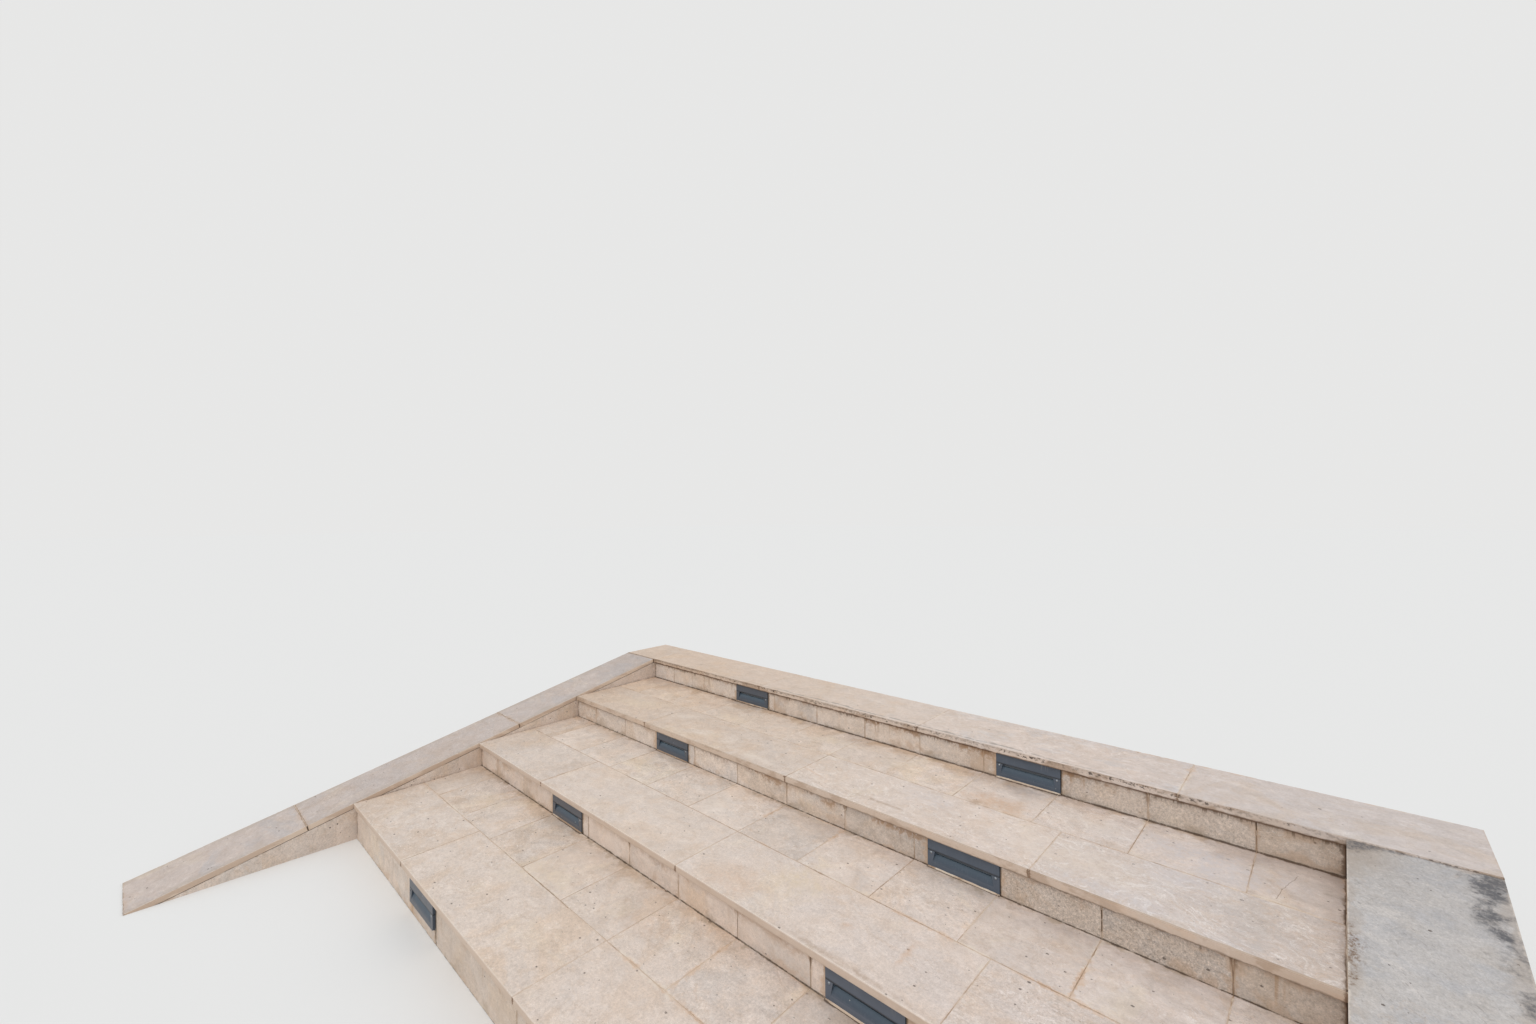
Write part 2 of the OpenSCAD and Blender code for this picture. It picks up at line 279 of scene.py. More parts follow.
SUN_SHARE = 0.26
SUN_FROM = Vector((0.35, -1.0, 1.6)).normalized()
SUN_DISC = math.radians(50)
SUN_COLOUR = (1.0, 0.975, 0.94)

sun_data = bpy.data.lights.new("sun behind cloud", "SUN")
sun_data.angle = SUN_DISC
sun_data.energy = SUN_SHARE * math.pi / SUN_FROM.z
sun_data.color = SUN_COLOUR
sun = into_scene("sun behind cloud", sun_data)
sun.rotation_euler = SUN_FROM.to_track_quat("Z", "Y").to_euler()
bpy.context.scene.view_settings.view_transform = "Standard"
print("sun", round(sun_data.energy, 2), "and sky", SKY_STRENGTH)

# %% Floor
FLOOR_REACH = 80.0

floor_mesh = bpy.data.meshes.new("floor")
ends = (-FLOOR_REACH, FLOOR_REACH)
floor_mesh.from_pydata([(x, y, 0.0) for x in ends for y in ends], [], [(0, 2, 3, 1)])
floor = into_scene("floor", floor_mesh)
pale_floor = bpy.data.materials.new("pale floor")
pale_floor.use_nodes = True
feed(pale_floor.node_tree.nodes["Principled BSDF"], {
    "Base Color": PALE_GREY, "Roughness": 0.95, "Specular IOR Level": 0.0})
floor_mesh.materials.append(pale_floor)
floor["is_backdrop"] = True
print("floor", 2 * FLOOR_REACH, "m wide")

# %% [markdown]
# ## Slabs with eased and chipped edges
#
# A sawn slab has a fine arris, eased by hand, and it has lost small flakes along its joints.
# A Bevel modifier would round every edge alike. Here each slab is a grid that is finer
# beside its edges, pressed down along them by the arris, and deeper where a noise says that
# a flake is gone. The grid is worked out as one table of u, v and depth, which three
# directions and an origin turn into places, so level, upright and raked slabs are all alike.

# %% Lines of a slab's grid, and its flakes
EDGE_LINES = (0.0, 0.0004, 0.0010, 0.0020, 0.0036, 0.0060)
GRID_STEP = 0.0075
CHIPS_PER_METRE = 120.0
RUNS_OF_CHIPS_PER_METRE = 13.0
UNCHIPPED = 0.30


def grid_lines(length):
    """Places of the grid's lines along one side: close at both ends, even between."""
    near = [line for line in EDGE_LINES if line < length / 3]
    steps = max(2, round(length / GRID_STEP))
    inner = np.linspace(near[-1], length - near[-1], steps + 1)
    far = [length - line for line in reversed(near[:-1])]
    return np.concatenate([near[:-1], inner, far])


def flake_share(point):
    """How much of the edge is gone at a place, from 0 to 1."""
    chips = noise.noise(point * CHIPS_PER_METRE)
    runs = noise.noise(point * RUNS_OF_CHIPS_PER_METRE + Vector((5.0, 3.0, 8.0)))
    return max(0.0, min(1.0, (chips * 0.8 + runs * 0.6 - UNCHIPPED) * 3.0))


print("lines across a 300 mm slab:", len(grid_lines(0.3)))

# %% Grid of one slab
JOINT_ARRIS = 0.0006
NOSING_ARRIS = 0.0016
FLAKE = 0.0042


def slab_grid(length, width, thick, to_place, front_arris):
    """A closed slab as rows of u, v and depth, with its faces."""
    us, vs = grid_lines(length), grid_lines(width)
    grid_u, grid_v = np.meshgrid(us, vs, indexing="ij")
    inset = np.minimum.reduce([grid_u, length - grid_u, width - grid_v, grid_v])
    arris = np.where(grid_v <= inset, front_arris, JOINT_ARRIS)
    depth = np.zeros_like(inset)
    for i, j in np.argwhere(inset < front_arris + FLAKE):
        spot = to_place(np.array([[grid_u[i, j], grid_v[i, j], 0.0]]))[0]
        reach = arris[i, j] + FLAKE * flake_share(Vector(spot))
        if inset[i, j] < reach:
            share = 1.0 - inset[i, j] / reach
            depth[i, j] = reach * (1.0 - math.sqrt(1.0 - share * share))
    top = np.arange(inset.size).reshape(inset.shape)
    faces = np.stack([top[:-1, :-1], top[1:, :-1], top[1:, 1:], top[:-1, 1:]], -1)
    rim = np.concatenate([top[:, 0], top[-1, 1:], top[-2::-1, -1], top[0, -2:0:-1]])
    local = np.stack([grid_u.ravel(), grid_v.ravel(), depth.ravel()], 1)
    under = np.arange(len(rim)) + len(local)
    skirt = np.stack([np.roll(rim, -1), rim, under, np.roll(under, -1)], 1)
    foot = local[rim].copy()
    foot[:, 2] = thick
    local = np.concatenate([local, foot])
    faces = np.concatenate([faces.reshape(-1, 4), skirt]).tolist()
    return local, faces + [under[::-1].tolist()]

# %% [markdown]
# A course of slabs is one object, since stone is laid a course at a time. Each point also
# keeps numbers for the materials: which slab it is on, how streaky that slab's bed is, and
# how far the point is from the nearest joint, from the free edge and from the dirty corner.
# A little unevenness, about half a millimetre, keeps neighbours from lining up perfectly,
# which is what makes laid stone look laid.

# %% Course of slabs
MOST_LIFT = 0.0004
MOST_ROCK = 0.0006
SHARP_ANGLE = math.radians(50)
joints = []


def slab(origin, along, across, down, length, width, thick, front_arris=JOINT_ARRIS, bed=0.0):
    """One slab: where its corner is, its three directions and its three sizes."""
    return {
        "origin": np.array(origin, float),
        "axes": np.array([along, across, down], float),
        "size": (length, width, thick),
        "front_arris": front_arris,
        "bed": bed,
    }


def add_numbers(mesh, title, values):
    """Keeps one number for each point of a mesh, and shades its faces smooth."""
    made = mesh.attributes.new(title, "FLOAT", "POINT")
    made.data.foreach_set("value", np.asarray(values, np.float32))
    mesh.polygons.foreach_set("use_smooth", [True] * len(mesh.polygons))


def lay_course(name, slabs, node, measure, keep_inside=None):
    """Builds one mesh from slabs. measure gives the joint, lip and corner distances."""
    dice = random.Random(name)
    places, faces, measures, numbers, beds = [], [], [], [], []
    count = 0
    for piece in slabs:
        length, width, thick = piece["size"]

        def to_place(local, piece=piece):
            """Turns rows of u, v and depth into places."""
            return piece["origin"] + local @ piece["axes"]

        local, slab_faces = slab_grid(length, width, thick, to_place, piece["front_arris"])
        lift = dice.uniform(0.0, MOST_LIFT)
        rock = dice.uniform(-MOST_ROCK, MOST_ROCK) * (local[:, 0] / length - 0.5)
        uneven = local.copy()
        uneven[:, 2] += lift + rock
        spots = to_place(uneven)
        if keep_inside:
            spots = keep_inside(spots)
        places.append(spots)
        measures.append(measure(local, length, width, spots))
        numbers += [dice.random()] * len(spots)
        beds += [piece["bed"]] * len(spots)
        faces += [[corner + count for corner in face] for face in slab_faces]
        count += len(spots)
    mesh = bpy.data.meshes.new(name)
    mesh.from_pydata(np.concatenate(places).tolist(), [], faces)
    columns = [numbers, beds, *np.concatenate(measures, 1)]
    for title, values in zip(("slab", "bed", "joint", "lip", "corner"), columns):
        add_numbers(mesh, title, values)
    mesh.set_sharp_from_angle(angle=SHARP_ANGLE)
    course = into_scene(name, mesh)
    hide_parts(node)
    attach(course, "root")
    triangles = sum(len(face) - 2 for face in faces)
    print(name, len(slabs), "slabs,", triangles, "triangles")
    return course

# %% [markdown]
# Where the slabs lie is read from the CAD node that they stand for: its mesh is parted into
# loose solids, and each solid's box is one slab.

# %% Slabs of a CAD node
def solids_of(node):
    """The low and high corners of each loose solid of a CAD node."""
    shape = bmesh.new()
    shape.from_mesh(nodes[node].data)
    bmesh.ops.remove_doubles(shape, verts=shape.verts, dist=1e-6)
    left = set(shape.verts)
    corners = []
    while left:
        stack = [left.pop()]
        group = []
        while stack:
            vertex = stack.pop()
            group.append(vertex.co.copy())
            near = {edge.other_vert(vertex) for edge in vertex.link_edges} & left
            left -= near
            stack += near
        group = np.array(group)
        corners.append((Vector(group.min(0)), Vector(group.max(0))))
    shape.free()
    return sorted(corners, key=lambda pair: [round(c, 4) for c in pair[0]])


print("first tread has", len(solids_of("tread_front_1")), "front slabs")

# %% [markdown]
# ## Treads and landing
#
# A tread has two courses. The front one is of metre-long slabs, which overhang the riser by
# 13 mm as the nosing; the rear one is of 300 mm slabs. Both fall one in a hundred to the
# front, so that rain runs off. The landing course is as long as the flight and its copings.
# Some slabs were sawn from a streakier bed than the rest.

# %% Tread courses
TREAD_FALL = 0.01
SLAB_THICK = 0.023
HALF_JOINT = 0.0015
JOINT_CLOSING = 0.0006
FAR = 1.0
UNDER_THE_ARRIS = 0.001
RISERS = (1, 2, 3, 4)
DOWN = (0, 0, -1)
ALONG_X = (1, 0, 0)
ALONG_Y = (0, 1, 0)
riser_face = {k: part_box(f"riser_{k}")[0].y for k in RISERS}
STREAKY_BEDS = {("tread_front_3", 3): 1.0, ("tread_front_3", 2): 0.45, ("tread_front_2", 3): 0.3,
                ("tread_rear_3", 9): 0.4, ("tread_front_1", 0): 0.3, ("landing_band", 3): 0.3}


def lay_tread(node, k, has_nosing):
    """One level course: u runs along X, v back along Y, depth down."""
    slabs = []
    for number, (low, high) in enumerate(solids_of(node)):
        front_top = high.z - TREAD_FALL * (high.y - low.y)
        slabs.append(slab(
            (low.x - JOINT_CLOSING, low.y, front_top), ALONG_X, (0, 1, TREAD_FALL), DOWN,
            high.x - low.x + 2 * JOINT_CLOSING, high.y - low.y + JOINT_CLOSING, SLAB_THICK,
            NOSING_ARRIS if has_nosing else JOINT_ARRIS, STREAKY_BEDS.get((node, number), 0.0)))
        if number:
            middle = low.x - HALF_JOINT
            joints.append(((middle, low.y + NOSING_ARRIS, front_top),
                           (middle, high.y, high.z), ALONG_X, DOWN))
    if has_nosing and k < RISERS[-1]:
        behind = high.y + HALF_JOINT
        joints.append(((-high.x, behind, high.z), (high.x, behind, high.z), ALONG_Y, DOWN))

    def measure(local, length, width, spots):
        """Distances from the joint, back from the nosing, and from the next riser."""
        u, v, depth = local.T
        joint = np.minimum.reduce([u, length - u, width - v])
        lip = np.full_like(u, FAR)
        corner = np.full_like(u, FAR)
        if has_nosing:
            lip = np.where(v < UNDER_THE_ARRIS, NOSING_ARRIS - depth, v)
        else:
            joint = np.minimum(joint, v)
        if k < RISERS[-1]:
            corner = riser_face[k + 1] - spots[:, 1]
        return joint, lip, corner

    return lay_course(f"{node}_stone", slabs, node, measure)


front_treads, rear_treads = [], []
for k in RISERS[:-1]:
    front_treads.append(lay_tread(f"tread_front_{k}", k, True))
    rear_treads.append(lay_tread(f"tread_rear_{k}", k, False))
landing = lay_tread("landing_band", RISERS[-1], True)

# %% [markdown]
# ## Risers
#
# The risers are upright slabs, cut round the lights. Their corner is at the foot, where the
# tread below holds water, and their edge is at the top, under the nosing that drips.

# %% Riser courses
def lay_riser(k):
    """One riser: u runs along X, v up, depth back into the flight."""
    node = f"riser_{k}"
    slabs = []
    last_end = -FAR
    for low, high in solids_of(node):
        slabs.append(slab(
            low - Vector((JOINT_CLOSING, 0.0, 0.0)), ALONG_X, (0, 0, 1), ALONG_Y,
            high.x - low.x + 2 * JOINT_CLOSING, high.z - low.z, high.y - low.y))
        if low.x - last_end < 3 * HALF_JOINT:
            middle = low.x - HALF_JOINT
            joints.append(((middle, low.y, low.z), (middle, low.y, high.z), ALONG_X, ALONG_Y))
        last_end = high.x
    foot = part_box(f"tread_rear_{k - 1}")[1].z if k > 1 else 0.0
    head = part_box(node)[1].z

    def measure(local, length, width, spots):
        """Distances from the joint, down from the nosing, and up from the tread."""
        u = local[:, 0]
        return np.minimum(u, length - u), head - spots[:, 2], spots[:, 2] - foot

    return lay_course(f"{node}_stone", slabs, node, measure)


risers = [lay_riser(k) for k in RISERS]

# %% [markdown]
# ## Copings
#
# The copings lie on the rake, with their top plane through the nosing corners. At the toe
# they run out to a thin edge on the ground, and at the head they are cut upright against
# the landing slab. A slab's u runs across and its v up the rake. Whatever would reach below
# the ground or past the head is pressed back to that plane.

# %% Coping courses
RISE = 0.128
GOING = 0.576
RAKE = math.atan2(RISE, GOING)
TOE_HEIGHT = 0.004
COPING_JOINT = 0.003


def lay_coping(side):
    """One coping, named left or right."""
    node = f"{side}_coping"
    low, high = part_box(node)
    up_rake = np.array((0.0, math.cos(RAKE), math.sin(RAKE)))
    down = np.array((0.0, math.sin(RAKE), -math.cos(RAKE)))
    toe = np.array((low.x, low.y, TOE_HEIGHT))
    start = 0.0
    slabs = []
    for _, slab_high in sorted(solids_of(node), key=lambda pair: pair[0].y):
        is_last = slab_high.y > high.y - 0.001
        overlap = 0.0 if is_last else SLAB_THICK * math.sin(RAKE)
        end = (slab_high.y - low.y - overlap) / math.cos(RAKE)
        slabs.append(slab(toe + up_rake * start, ALONG_X, up_rake, down,
                          high.x - low.x, end - start, SLAB_THICK))
        if not is_last:
            foot = toe + up_rake * (end + HALF_JOINT)
            joints.append((foot, foot + np.array((high.x - low.x, 0.0, 0.0)), up_rake, down))
        start = end + COPING_JOINT

    def keep_inside(spots):
        """Presses back what would reach past the head or below the ground."""
        spots[:, 1] = np.clip(spots[:, 1], low.y, high.y)
        spots[:, 2] = np.maximum(spots[:, 2], 0.0)
        return spots

    def measure(local, length, width, spots):
        """Distances from the joint, from the inner edge and from the outer edge."""
        u, v, depth = local.T
        inner = length - u if side == "left" else u
        return np.minimum(v, width - v), inner, length - inner

    return lay_course(f"{node}_stone", slabs, node, measure, keep_inside)


copings = {side: lay_coping(side) for side in ("left", "right")}

# %% [markdown]
# ## Filler in the joints
#
# A joint is pointed with a sandy lime filler that stands almost level with the stone, laps
# into the flakes beside it, and has sunk or fallen out in places, where the joint turns
# dark. It is a ribbon five points wide, which asks the same noise as the slabs how much of
# each edge is gone. Every joint was pointed on its own, so its tone and its wear are its own.

# %% Filler
FILLER_STEP = 0.007
FILLER_CORE = 0.0006
FILLER_DEPTH = 0.0008
FILLER_SUNK = 0.0022
FILLER_CROWN = 0.0002
FILLER_LAP = 0.0010
POINTS_ACROSS = 5


def filler_profile(point, across, openness):
    """Places across the joint and their depths, from one slab's flake to the other's."""
    sunk = noise.noise(point * 11.0) + 0.5 * noise.noise(point * 47.0) + openness
    depth = FILLER_DEPTH + FILLER_SUNK * max(0.0, min(1.0, sunk * 3.0))
    row = [(-FILLER_CORE, depth), (0.0, depth + FILLER_CROWN), (FILLER_CORE, depth)]
    for hand in (-1, 1):
        reach = JOINT_ARRIS + FLAKE * flake_share(point + across * (hand * HALF_JOINT))
        edge = (hand * (FILLER_LAP + 0.5 * reach), depth + 0.3 * reach)
        row = [edge] + row if hand < 0 else row + [edge]
    return row


dice = random.Random("filler")
places, faces, tones = [], [], []
for start, end, across, inward in joints:
    start, end, across, inward = [Vector(part) for part in (start, end, across, inward)]
    steps = max(2, round((end - start).length / FILLER_STEP))
    openness = dice.uniform(-0.75, 0.0)
    tone = dice.random()
    for i in range(steps + 1):
        point = start.lerp(end, i / steps)
        profile = filler_profile(point, across, openness)
        if i:
            last_row = range(len(places) - POINTS_ACROSS, len(places) - 1)
            faces += [(a, a + POINTS_ACROSS, a + POINTS_ACROSS + 1, a + 1) for a in last_row]
        places += [point + across * aside + inward * depth for aside, depth in profile]
        tones += [tone] * len(profile)
filler_mesh = bpy.data.meshes.new("joint_filler")
filler_mesh.from_pydata([tuple(place) for place in places], [], faces)
add_numbers(filler_mesh, "tone", tones)
joint_filler = into_scene("joint_filler", filler_mesh)
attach(joint_filler, "root")
print("joint_filler", len(joints), "joints,", 2 * len(faces), "triangles")

# %% [markdown]
# Under each light that stands on a tread, a smeared bead of the same mortar closes the gap.
# It is a strip that bulges, laps up over the plate's foot and thins out at its ends.

# %% Mortar beads under the lights
BEAD_STEP = 0.006
BEAD_BACK = -0.0020
BEAD_LAP = 0.0013
BEAD_TONE = 0.60
LEFT_BEAD_PALER = 0.5


def bead_profile(x, k, full, plate_foot, tread_top):
    """Places across a bead, from its lap on the plate down to the tread: depth and height."""
    bulge = 0.0007 * noise.noise(Vector((x * 60.0, k, 0.0)))
    lap = full * (BEAD_LAP + 0.0010 * noise.noise(Vector((x * 35.0, k, 4.0))))
    return ((BEAD_BACK, plate_foot + lap),
            (BEAD_BACK - 0.0014 * full - bulge, plate_foot + 0.7 * lap),
            (-0.0022 - 0.0028 * full - bulge, tread_top + 0.0014),
            (-0.0024 - 0.0036 * full, tread_top - 0.0004))


beads = bmesh.new()
bead_tones = []
for k in RISERS[1:]:
    tread_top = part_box(f"tread_rear_{k - 1}")[1].z
    for low, high in solids_of(f"light_plates_{k}"):
        last = None
        steps = round((high.x - low.x) / BEAD_STEP)
        for i in range(steps + 1):
            x = low.x + (high.x - low.x) * i / steps
            full = min(1.0, min(i, steps - i) / 3)
            profile = bead_profile(x, k, full, low.z, tread_top)
            ring = [beads.verts.new((x, riser_face[k] + y, z)) for y, z in profile]
            tone = BEAD_TONE + 0.5 * noise.noise(Vector((x * 25.0, k, 9.0)))
            tone += LEFT_BEAD_PALER if x < 0.0 else 0.0
            bead_tones += [tone] * len(ring)
            if last:
                for a in range(len(ring) - 1):
                    beads.faces.new((last[a], last[a + 1], ring[a + 1], ring[a]))
            last = ring
bead_mesh = bpy.data.meshes.new("light_beads")
beads.to_mesh(bead_mesh)
beads.free()
add_numbers(bead_mesh, "tone", bead_tones)
light_beads = into_scene("light_beads", bead_mesh)
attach(light_beads, "root")
print("light_beads", len(bead_mesh.polygons), "faces")

# %% [markdown]
# ## Limestone, as a shader group
#
# Seen close, this limestone is a rosy grey ground with tan and bluish clouds a hand wide,
# finger-sized blotches, short pale and dark flakes that lie in clusters, long wavy streaks
# along the bed that it was sawn from, a fine grain, and small dark pinholes where shells
# dissolved. Each is one noise at its own scale, in cycles to the metre, and the group below
# puts them together one at a time. Every slab was cut from another place in the block: a
# White Noise node turns the number that a slab carries into a shift of the whole pattern,
# so it breaks off at the joints, and into three dice for that slab's own tone, roughness
# and warmth.

# %% Group: round spots
# Few cells of a Voronoi pattern hold a spot, and each spot has its own size in metres.
spots, given, result = new_group("spots", {
    "Place": None,
    "Cells per metre": 34.0,
    "Share": 0.3,
    "Smallest": 0.001,
    "Swing": 0.002,
    "Ragged": 0.001,
})
SPOT_SOFTNESS = 0.0006
cells = put("TexVoronoi", {"Vector": given["Place"], "Scale": given["Cells per metre"]})
cell_dice = put("SeparateColor", {0: cells["Color"]})
is_spot = maths("LESS_THAN", cell_dice["Red"], given["Share"])
radius = cell_dice["Green"] * given["Swing"] + given["Smallest"]
rim = (cloud(given["Place"], 400.0, 2.0, 0.6) - 0.5) * given["Ragged"]
from_middle = cells["Distance"] / given["Cells per metre"] + rim
feed(result, {"Mask": fade(radius - from_middle, 0.0, SPOT_SOFTNESS) * is_spot})
print("spots group:", len(spots.nodes), "nodes")

# %% Group: limestone, its sockets and dice
limestone, given, result = new_group("limestone", {
    "Place": None,
    "Slab": 0.0,
    "Ground": (0.63, 0.53, 0.45),
    "Warm": (0.63, 0.48, 0.37),
    "Cool": (0.57, 0.53, 0.51),
    "Warm share": 0.4,
    "Cool share": 0.4,
    "Tone swing": 0.1,
    "Clouds": 0.3,
    "Blotches": 0.3,
    "Flakes": 0.3,
    "Streaks": 0.3,
    "Grain": 0.1,
    "Specks": 0.3,
    "Pinholes": 0.3,
}, ("Color", "Height", "Pit"))
BLOCK_REACH = 40.0
slab_dice = put("TexWhiteNoise", {"W": given["Slab"]}, "Color", noise_dimensions="1D")
block_shift = put("VectorMath", {0: slab_dice, 1: (BLOCK_REACH,) * 3}, operation="MULTIPLY")
in_block = put("VectorMath", {0: given["Place"], 1: block_shift}, operation="ADD")
dice_parts = put("SeparateColor", {0: slab_dice})
tone_die, rough_die, warm_die = [dice_parts[part] for part in ("Red", "Green", "Blue")]
print("limestone so far:", len(limestone.nodes), "nodes")

# %% Group: limestone, clouds of tan and bluish stone
# A vein follows the rim of the cream clouds, as iron does in the real stone.
CREAM = (0.72, 0.60, 0.46)
VEIN = (0.50, 0.36, 0.25)
warm_share = given["Warm share"]
warm_mask = fade(cloud(in_block, 4.5, 6.0, 0.64, 0.8), 0.47, 0.62)
warm_mask = warm_mask * warm_share * (warm_die * 1.2 + 0.3)
cool_place = stretched(in_block, 0.8, 1.2, 1.2, (4.1, 7.7, 1.3))
cool_mask = fade(cloud(cool_place, 6.0, 6.0, 0.64, 0.8), 0.46, 0.62)
cool_mask = cool_mask * given["Cool share"] * (warm_die * -1.2 + 1.5)
cream_cloud = cloud(moved(in_block, 1.1, 2.9, 6.3), 4.0, 6.0, 0.6, 0.6)
cream_mask = fade(cream_cloud, 0.56, 0.68) * warm_share * 0.6
vein = fade(abs(cream_cloud - 0.57), 0.011, 0.001) * warm_share * 0.30
stone_colour = blend(warm_mask, given["Ground"], given["Warm"])
stone_colour = blend(cream_mask, stone_colour, CREAM)
stone_colour = blend(cool_mask, stone_colour, given["Cool"])
stone_colour = blend(vein, stone_colour, VEIN)
print("limestone so far:", len(limestone.nodes), "nodes")

# %% Group: limestone, drifts and blotches
# Within one slab some parts are even and others busy; area goes from 0 to 1 between them.
PALE_STONE = (0.80, 0.725, 0.665)
area = fade(cloud(in_block, 5.5, 5.0, 0.6, 0.5), 0.46, 0.62)
blotches = given["Blotches"]
drift_cloud = cloud(stretched(in_block, 1.0, 1.5, 1.5, (5.0, 3.6, 1.2)), 13.0, 6.0, 0.66, 1.0)
tan_drift = fade(drift_cloud, 0.48, 0.34) * blotches * 1.2
pale_drift = fade(drift_cloud, 0.54, 0.68) * blotches * 0.6
blotch_cloud = cloud(stretched(in_block, 1.0, 1.3, 1.3, (8.0, 0.6, 2.2)), 40.0, 5.0, 0.70, 0.5)
tan_blotch = fade(blotch_cloud, 0.54, 0.64) * (area * 1.2 + 0.25) * blotches
stone_colour = blend(tan_drift, stone_colour, given["Warm"])
stone_colour = blend(pale_drift, stone_colour, PALE_STONE)
stone_colour = blend(tan_blotch, stone_colour, given["Warm"])
print("limestone so far:", len(limestone.nodes), "nodes")

# %% Group: limestone, flakes
FLAKE_SHADE = (0.78, 0.74, 0.71)
bend = put("TexNoise", {"Vector": in_block, "Scale": 9.0, "Detail": 4.0}, "Color")
bent = moved_by(in_block, bend, (0.22, 0.13, 0.13))
flake_strength = (area * 0.95 + 0.05) * given["Flakes"] * 1.8
flake_cloud = cloud(stretched(bent, 1.0, 2.2, 2.2), 62.0, 4.0, 0.62)
pale_flake = fade(flake_cloud, 0.60, 0.66) * flake_strength
dark_flake = fade(flake_cloud, 0.40, 0.34) * flake_strength
stone_colour = blend(pale_flake, stone_colour, PALE_STONE)
stone_colour = shade(dark_flake, stone_colour, FLAKE_SHADE)
print("limestone so far:", len(limestone.nodes), "nodes")

# %% Group: limestone, wisps
# A wisp is the thin line where a noise crosses its middle value, broken by another noise.
wisp_cloud = cloud(stretched(bent, 1.0, 1.7, 1.7, (3.0, 3.0, 3.0)), 17.0, 4.0, 0.6)
dark_cloud = cloud(stretched(bent, 1.0, 1.5, 1.5, (6.0, 1.0, 4.0)), 15.0, 4.0, 0.6)
broken = fade(cloud(in_block, 26.0, 3.0, 0.6), 0.48, 0.58)
wisp = fade(abs(wisp_cloud - 0.5), 0.024, 0.002) * broken * flake_strength * 0.65
stone_colour = blend(wisp, stone_colour, PALE_STONE)
dark_wisp = fade(abs(dark_cloud - 0.5), 0.010, 0.002) * fade(broken, 1.0, 0.0)
stone_colour = shade(dark_wisp * flake_strength * 0.8, stone_colour, FLAKE_SHADE)
print("limestone so far:", len(limestone.nodes), "nodes")

# %% Group: limestone, long wavy streaks along the bed
swirl = put("TexNoise", {"Vector": in_block, "Scale": 3.4, "Detail": 2.0}, "Color")
swirled = moved_by(bent, swirl, (0.30, 0.55, 0.55))
streak_cloud = cloud(stretched(swirled, 1.0, 4.2, 4.2), 13.0, 6.0, 0.68)
pale_streak = fade(streak_cloud, 0.53, 0.62) * given["Streaks"]
tan_streak = fade(streak_cloud, 0.46, 0.37) * given["Streaks"] * 0.7
stone_colour = blend(pale_streak, stone_colour, PALE_STONE)
stone_colour = blend(tan_streak, stone_colour, given["Warm"])
print("limestone so far:", len(limestone.nodes), "nodes")

# %% Group: limestone, grain and the tone of each slab
grain_swing = cloud(in_block, 110.0, 3.0, 0.7) * 1.1 + cloud(in_block, 260.0, 2.0, 0.7) - 1.05
rough_slab = rough_die * 0.8 + 0.55
grain_shade = grain_swing * given["Grain"] * rough_slab * 4.0
tone_shade = (tone_die - 0.5) * given["Tone swing"]
blotch_shade = ((drift_cloud - 0.5) * 0.45 - (blotch_cloud - 0.5) * 0.75) * blotches
soft_cloud = cloud(stretched(in_block, 1.0, 1.15, 1.15, (2.2, 8.1, 4.4)), 11.0, 3.0, 0.62, 0.9)
cloud_shade = (soft_cloud - 0.5) * given["Clouds"] * 1.2
tone = grain_shade + tone_shade + blotch_shade + cloud_shade + 1.0
stone_colour = shade(1.0, stone_colour, put("CombineColor", {0: tone, 1: tone, 2: tone}))
print("limestone so far:", len(limestone.nodes), "nodes")

# %% Group: limestone, specks, pinholes and relief
SPECK_COLOUR = (0.30, 0.235, 0.18)
HOLE_COLOUR = (0.12, 0.095, 0.08)
speck = fade(cloud(in_block, 210.0, 2.0, 0.5), 0.68, 0.76) * given["Specks"] * rough_slab
stone_colour = blend(speck, stone_colour, SPECK_COLOUR)
small_pit = use_group(spots, {
    "Place": in_block, "Share": given["Pinholes"], "Smallest": 0.0010, "Swing": 0.0012,
    "Ragged": 0.002})
large_pit = use_group(spots, {
    "Place": stretched(in_block, 1.0, 1.3, 1.3), "Cells per metre": 22.0,
    "Share": given["Pinholes"], "Smallest": 0.0023, "Swing": 0.0027, "Ragged": 0.003})
pit = largest(small_pit, large_pit)
stone_colour = blend(pit * 0.85, stone_colour, HOLE_COLOUR)
relief = grain_swing * 0.4 + pale_flake * 0.15 - pit * 1.2
feed(result, {"Color": stone_colour, "Height": relief, "Pit": pit})
print("limestone group:", len(limestone.nodes), "nodes")

# %% [markdown]
# ## What weather adds
#
# Dirt follows water. It settles in the corner where a tread meets the next riser, runs down
# from a nosing in thin drips, and stains the stone beside a joint. Each is a mask made from
# one of the distances that the slabs carry, roughened with noise so that no edge of it is
# straight. A group each keeps them the same on every stone.

# %% Group: ragged band along an edge
ragged_band, given, result = new_group("ragged band", {
    "Place": None,
    "Distance": 0.0,
    "Reach": 0.01,
    "Raggedness": 0.7,
    "Patch size": 0.03,
    "Cover": 1.0,
})
LEAST_REACH = 1e-5
patch = cloud(given["Place"], 1.0 / given["Patch size"], 4.0, 0.65)
swing = (patch * 9.0 - 4.5) * given["Raggedness"] + 1.0
local_reach = largest(given["Reach"] * swing, LEAST_REACH)
share = abs(given["Distance"] / local_reach)
feed(result, {"Mask": fade(share, 1.0, 0.25) * given["Cover"]})
print("ragged band group:", len(ragged_band.nodes), "nodes")

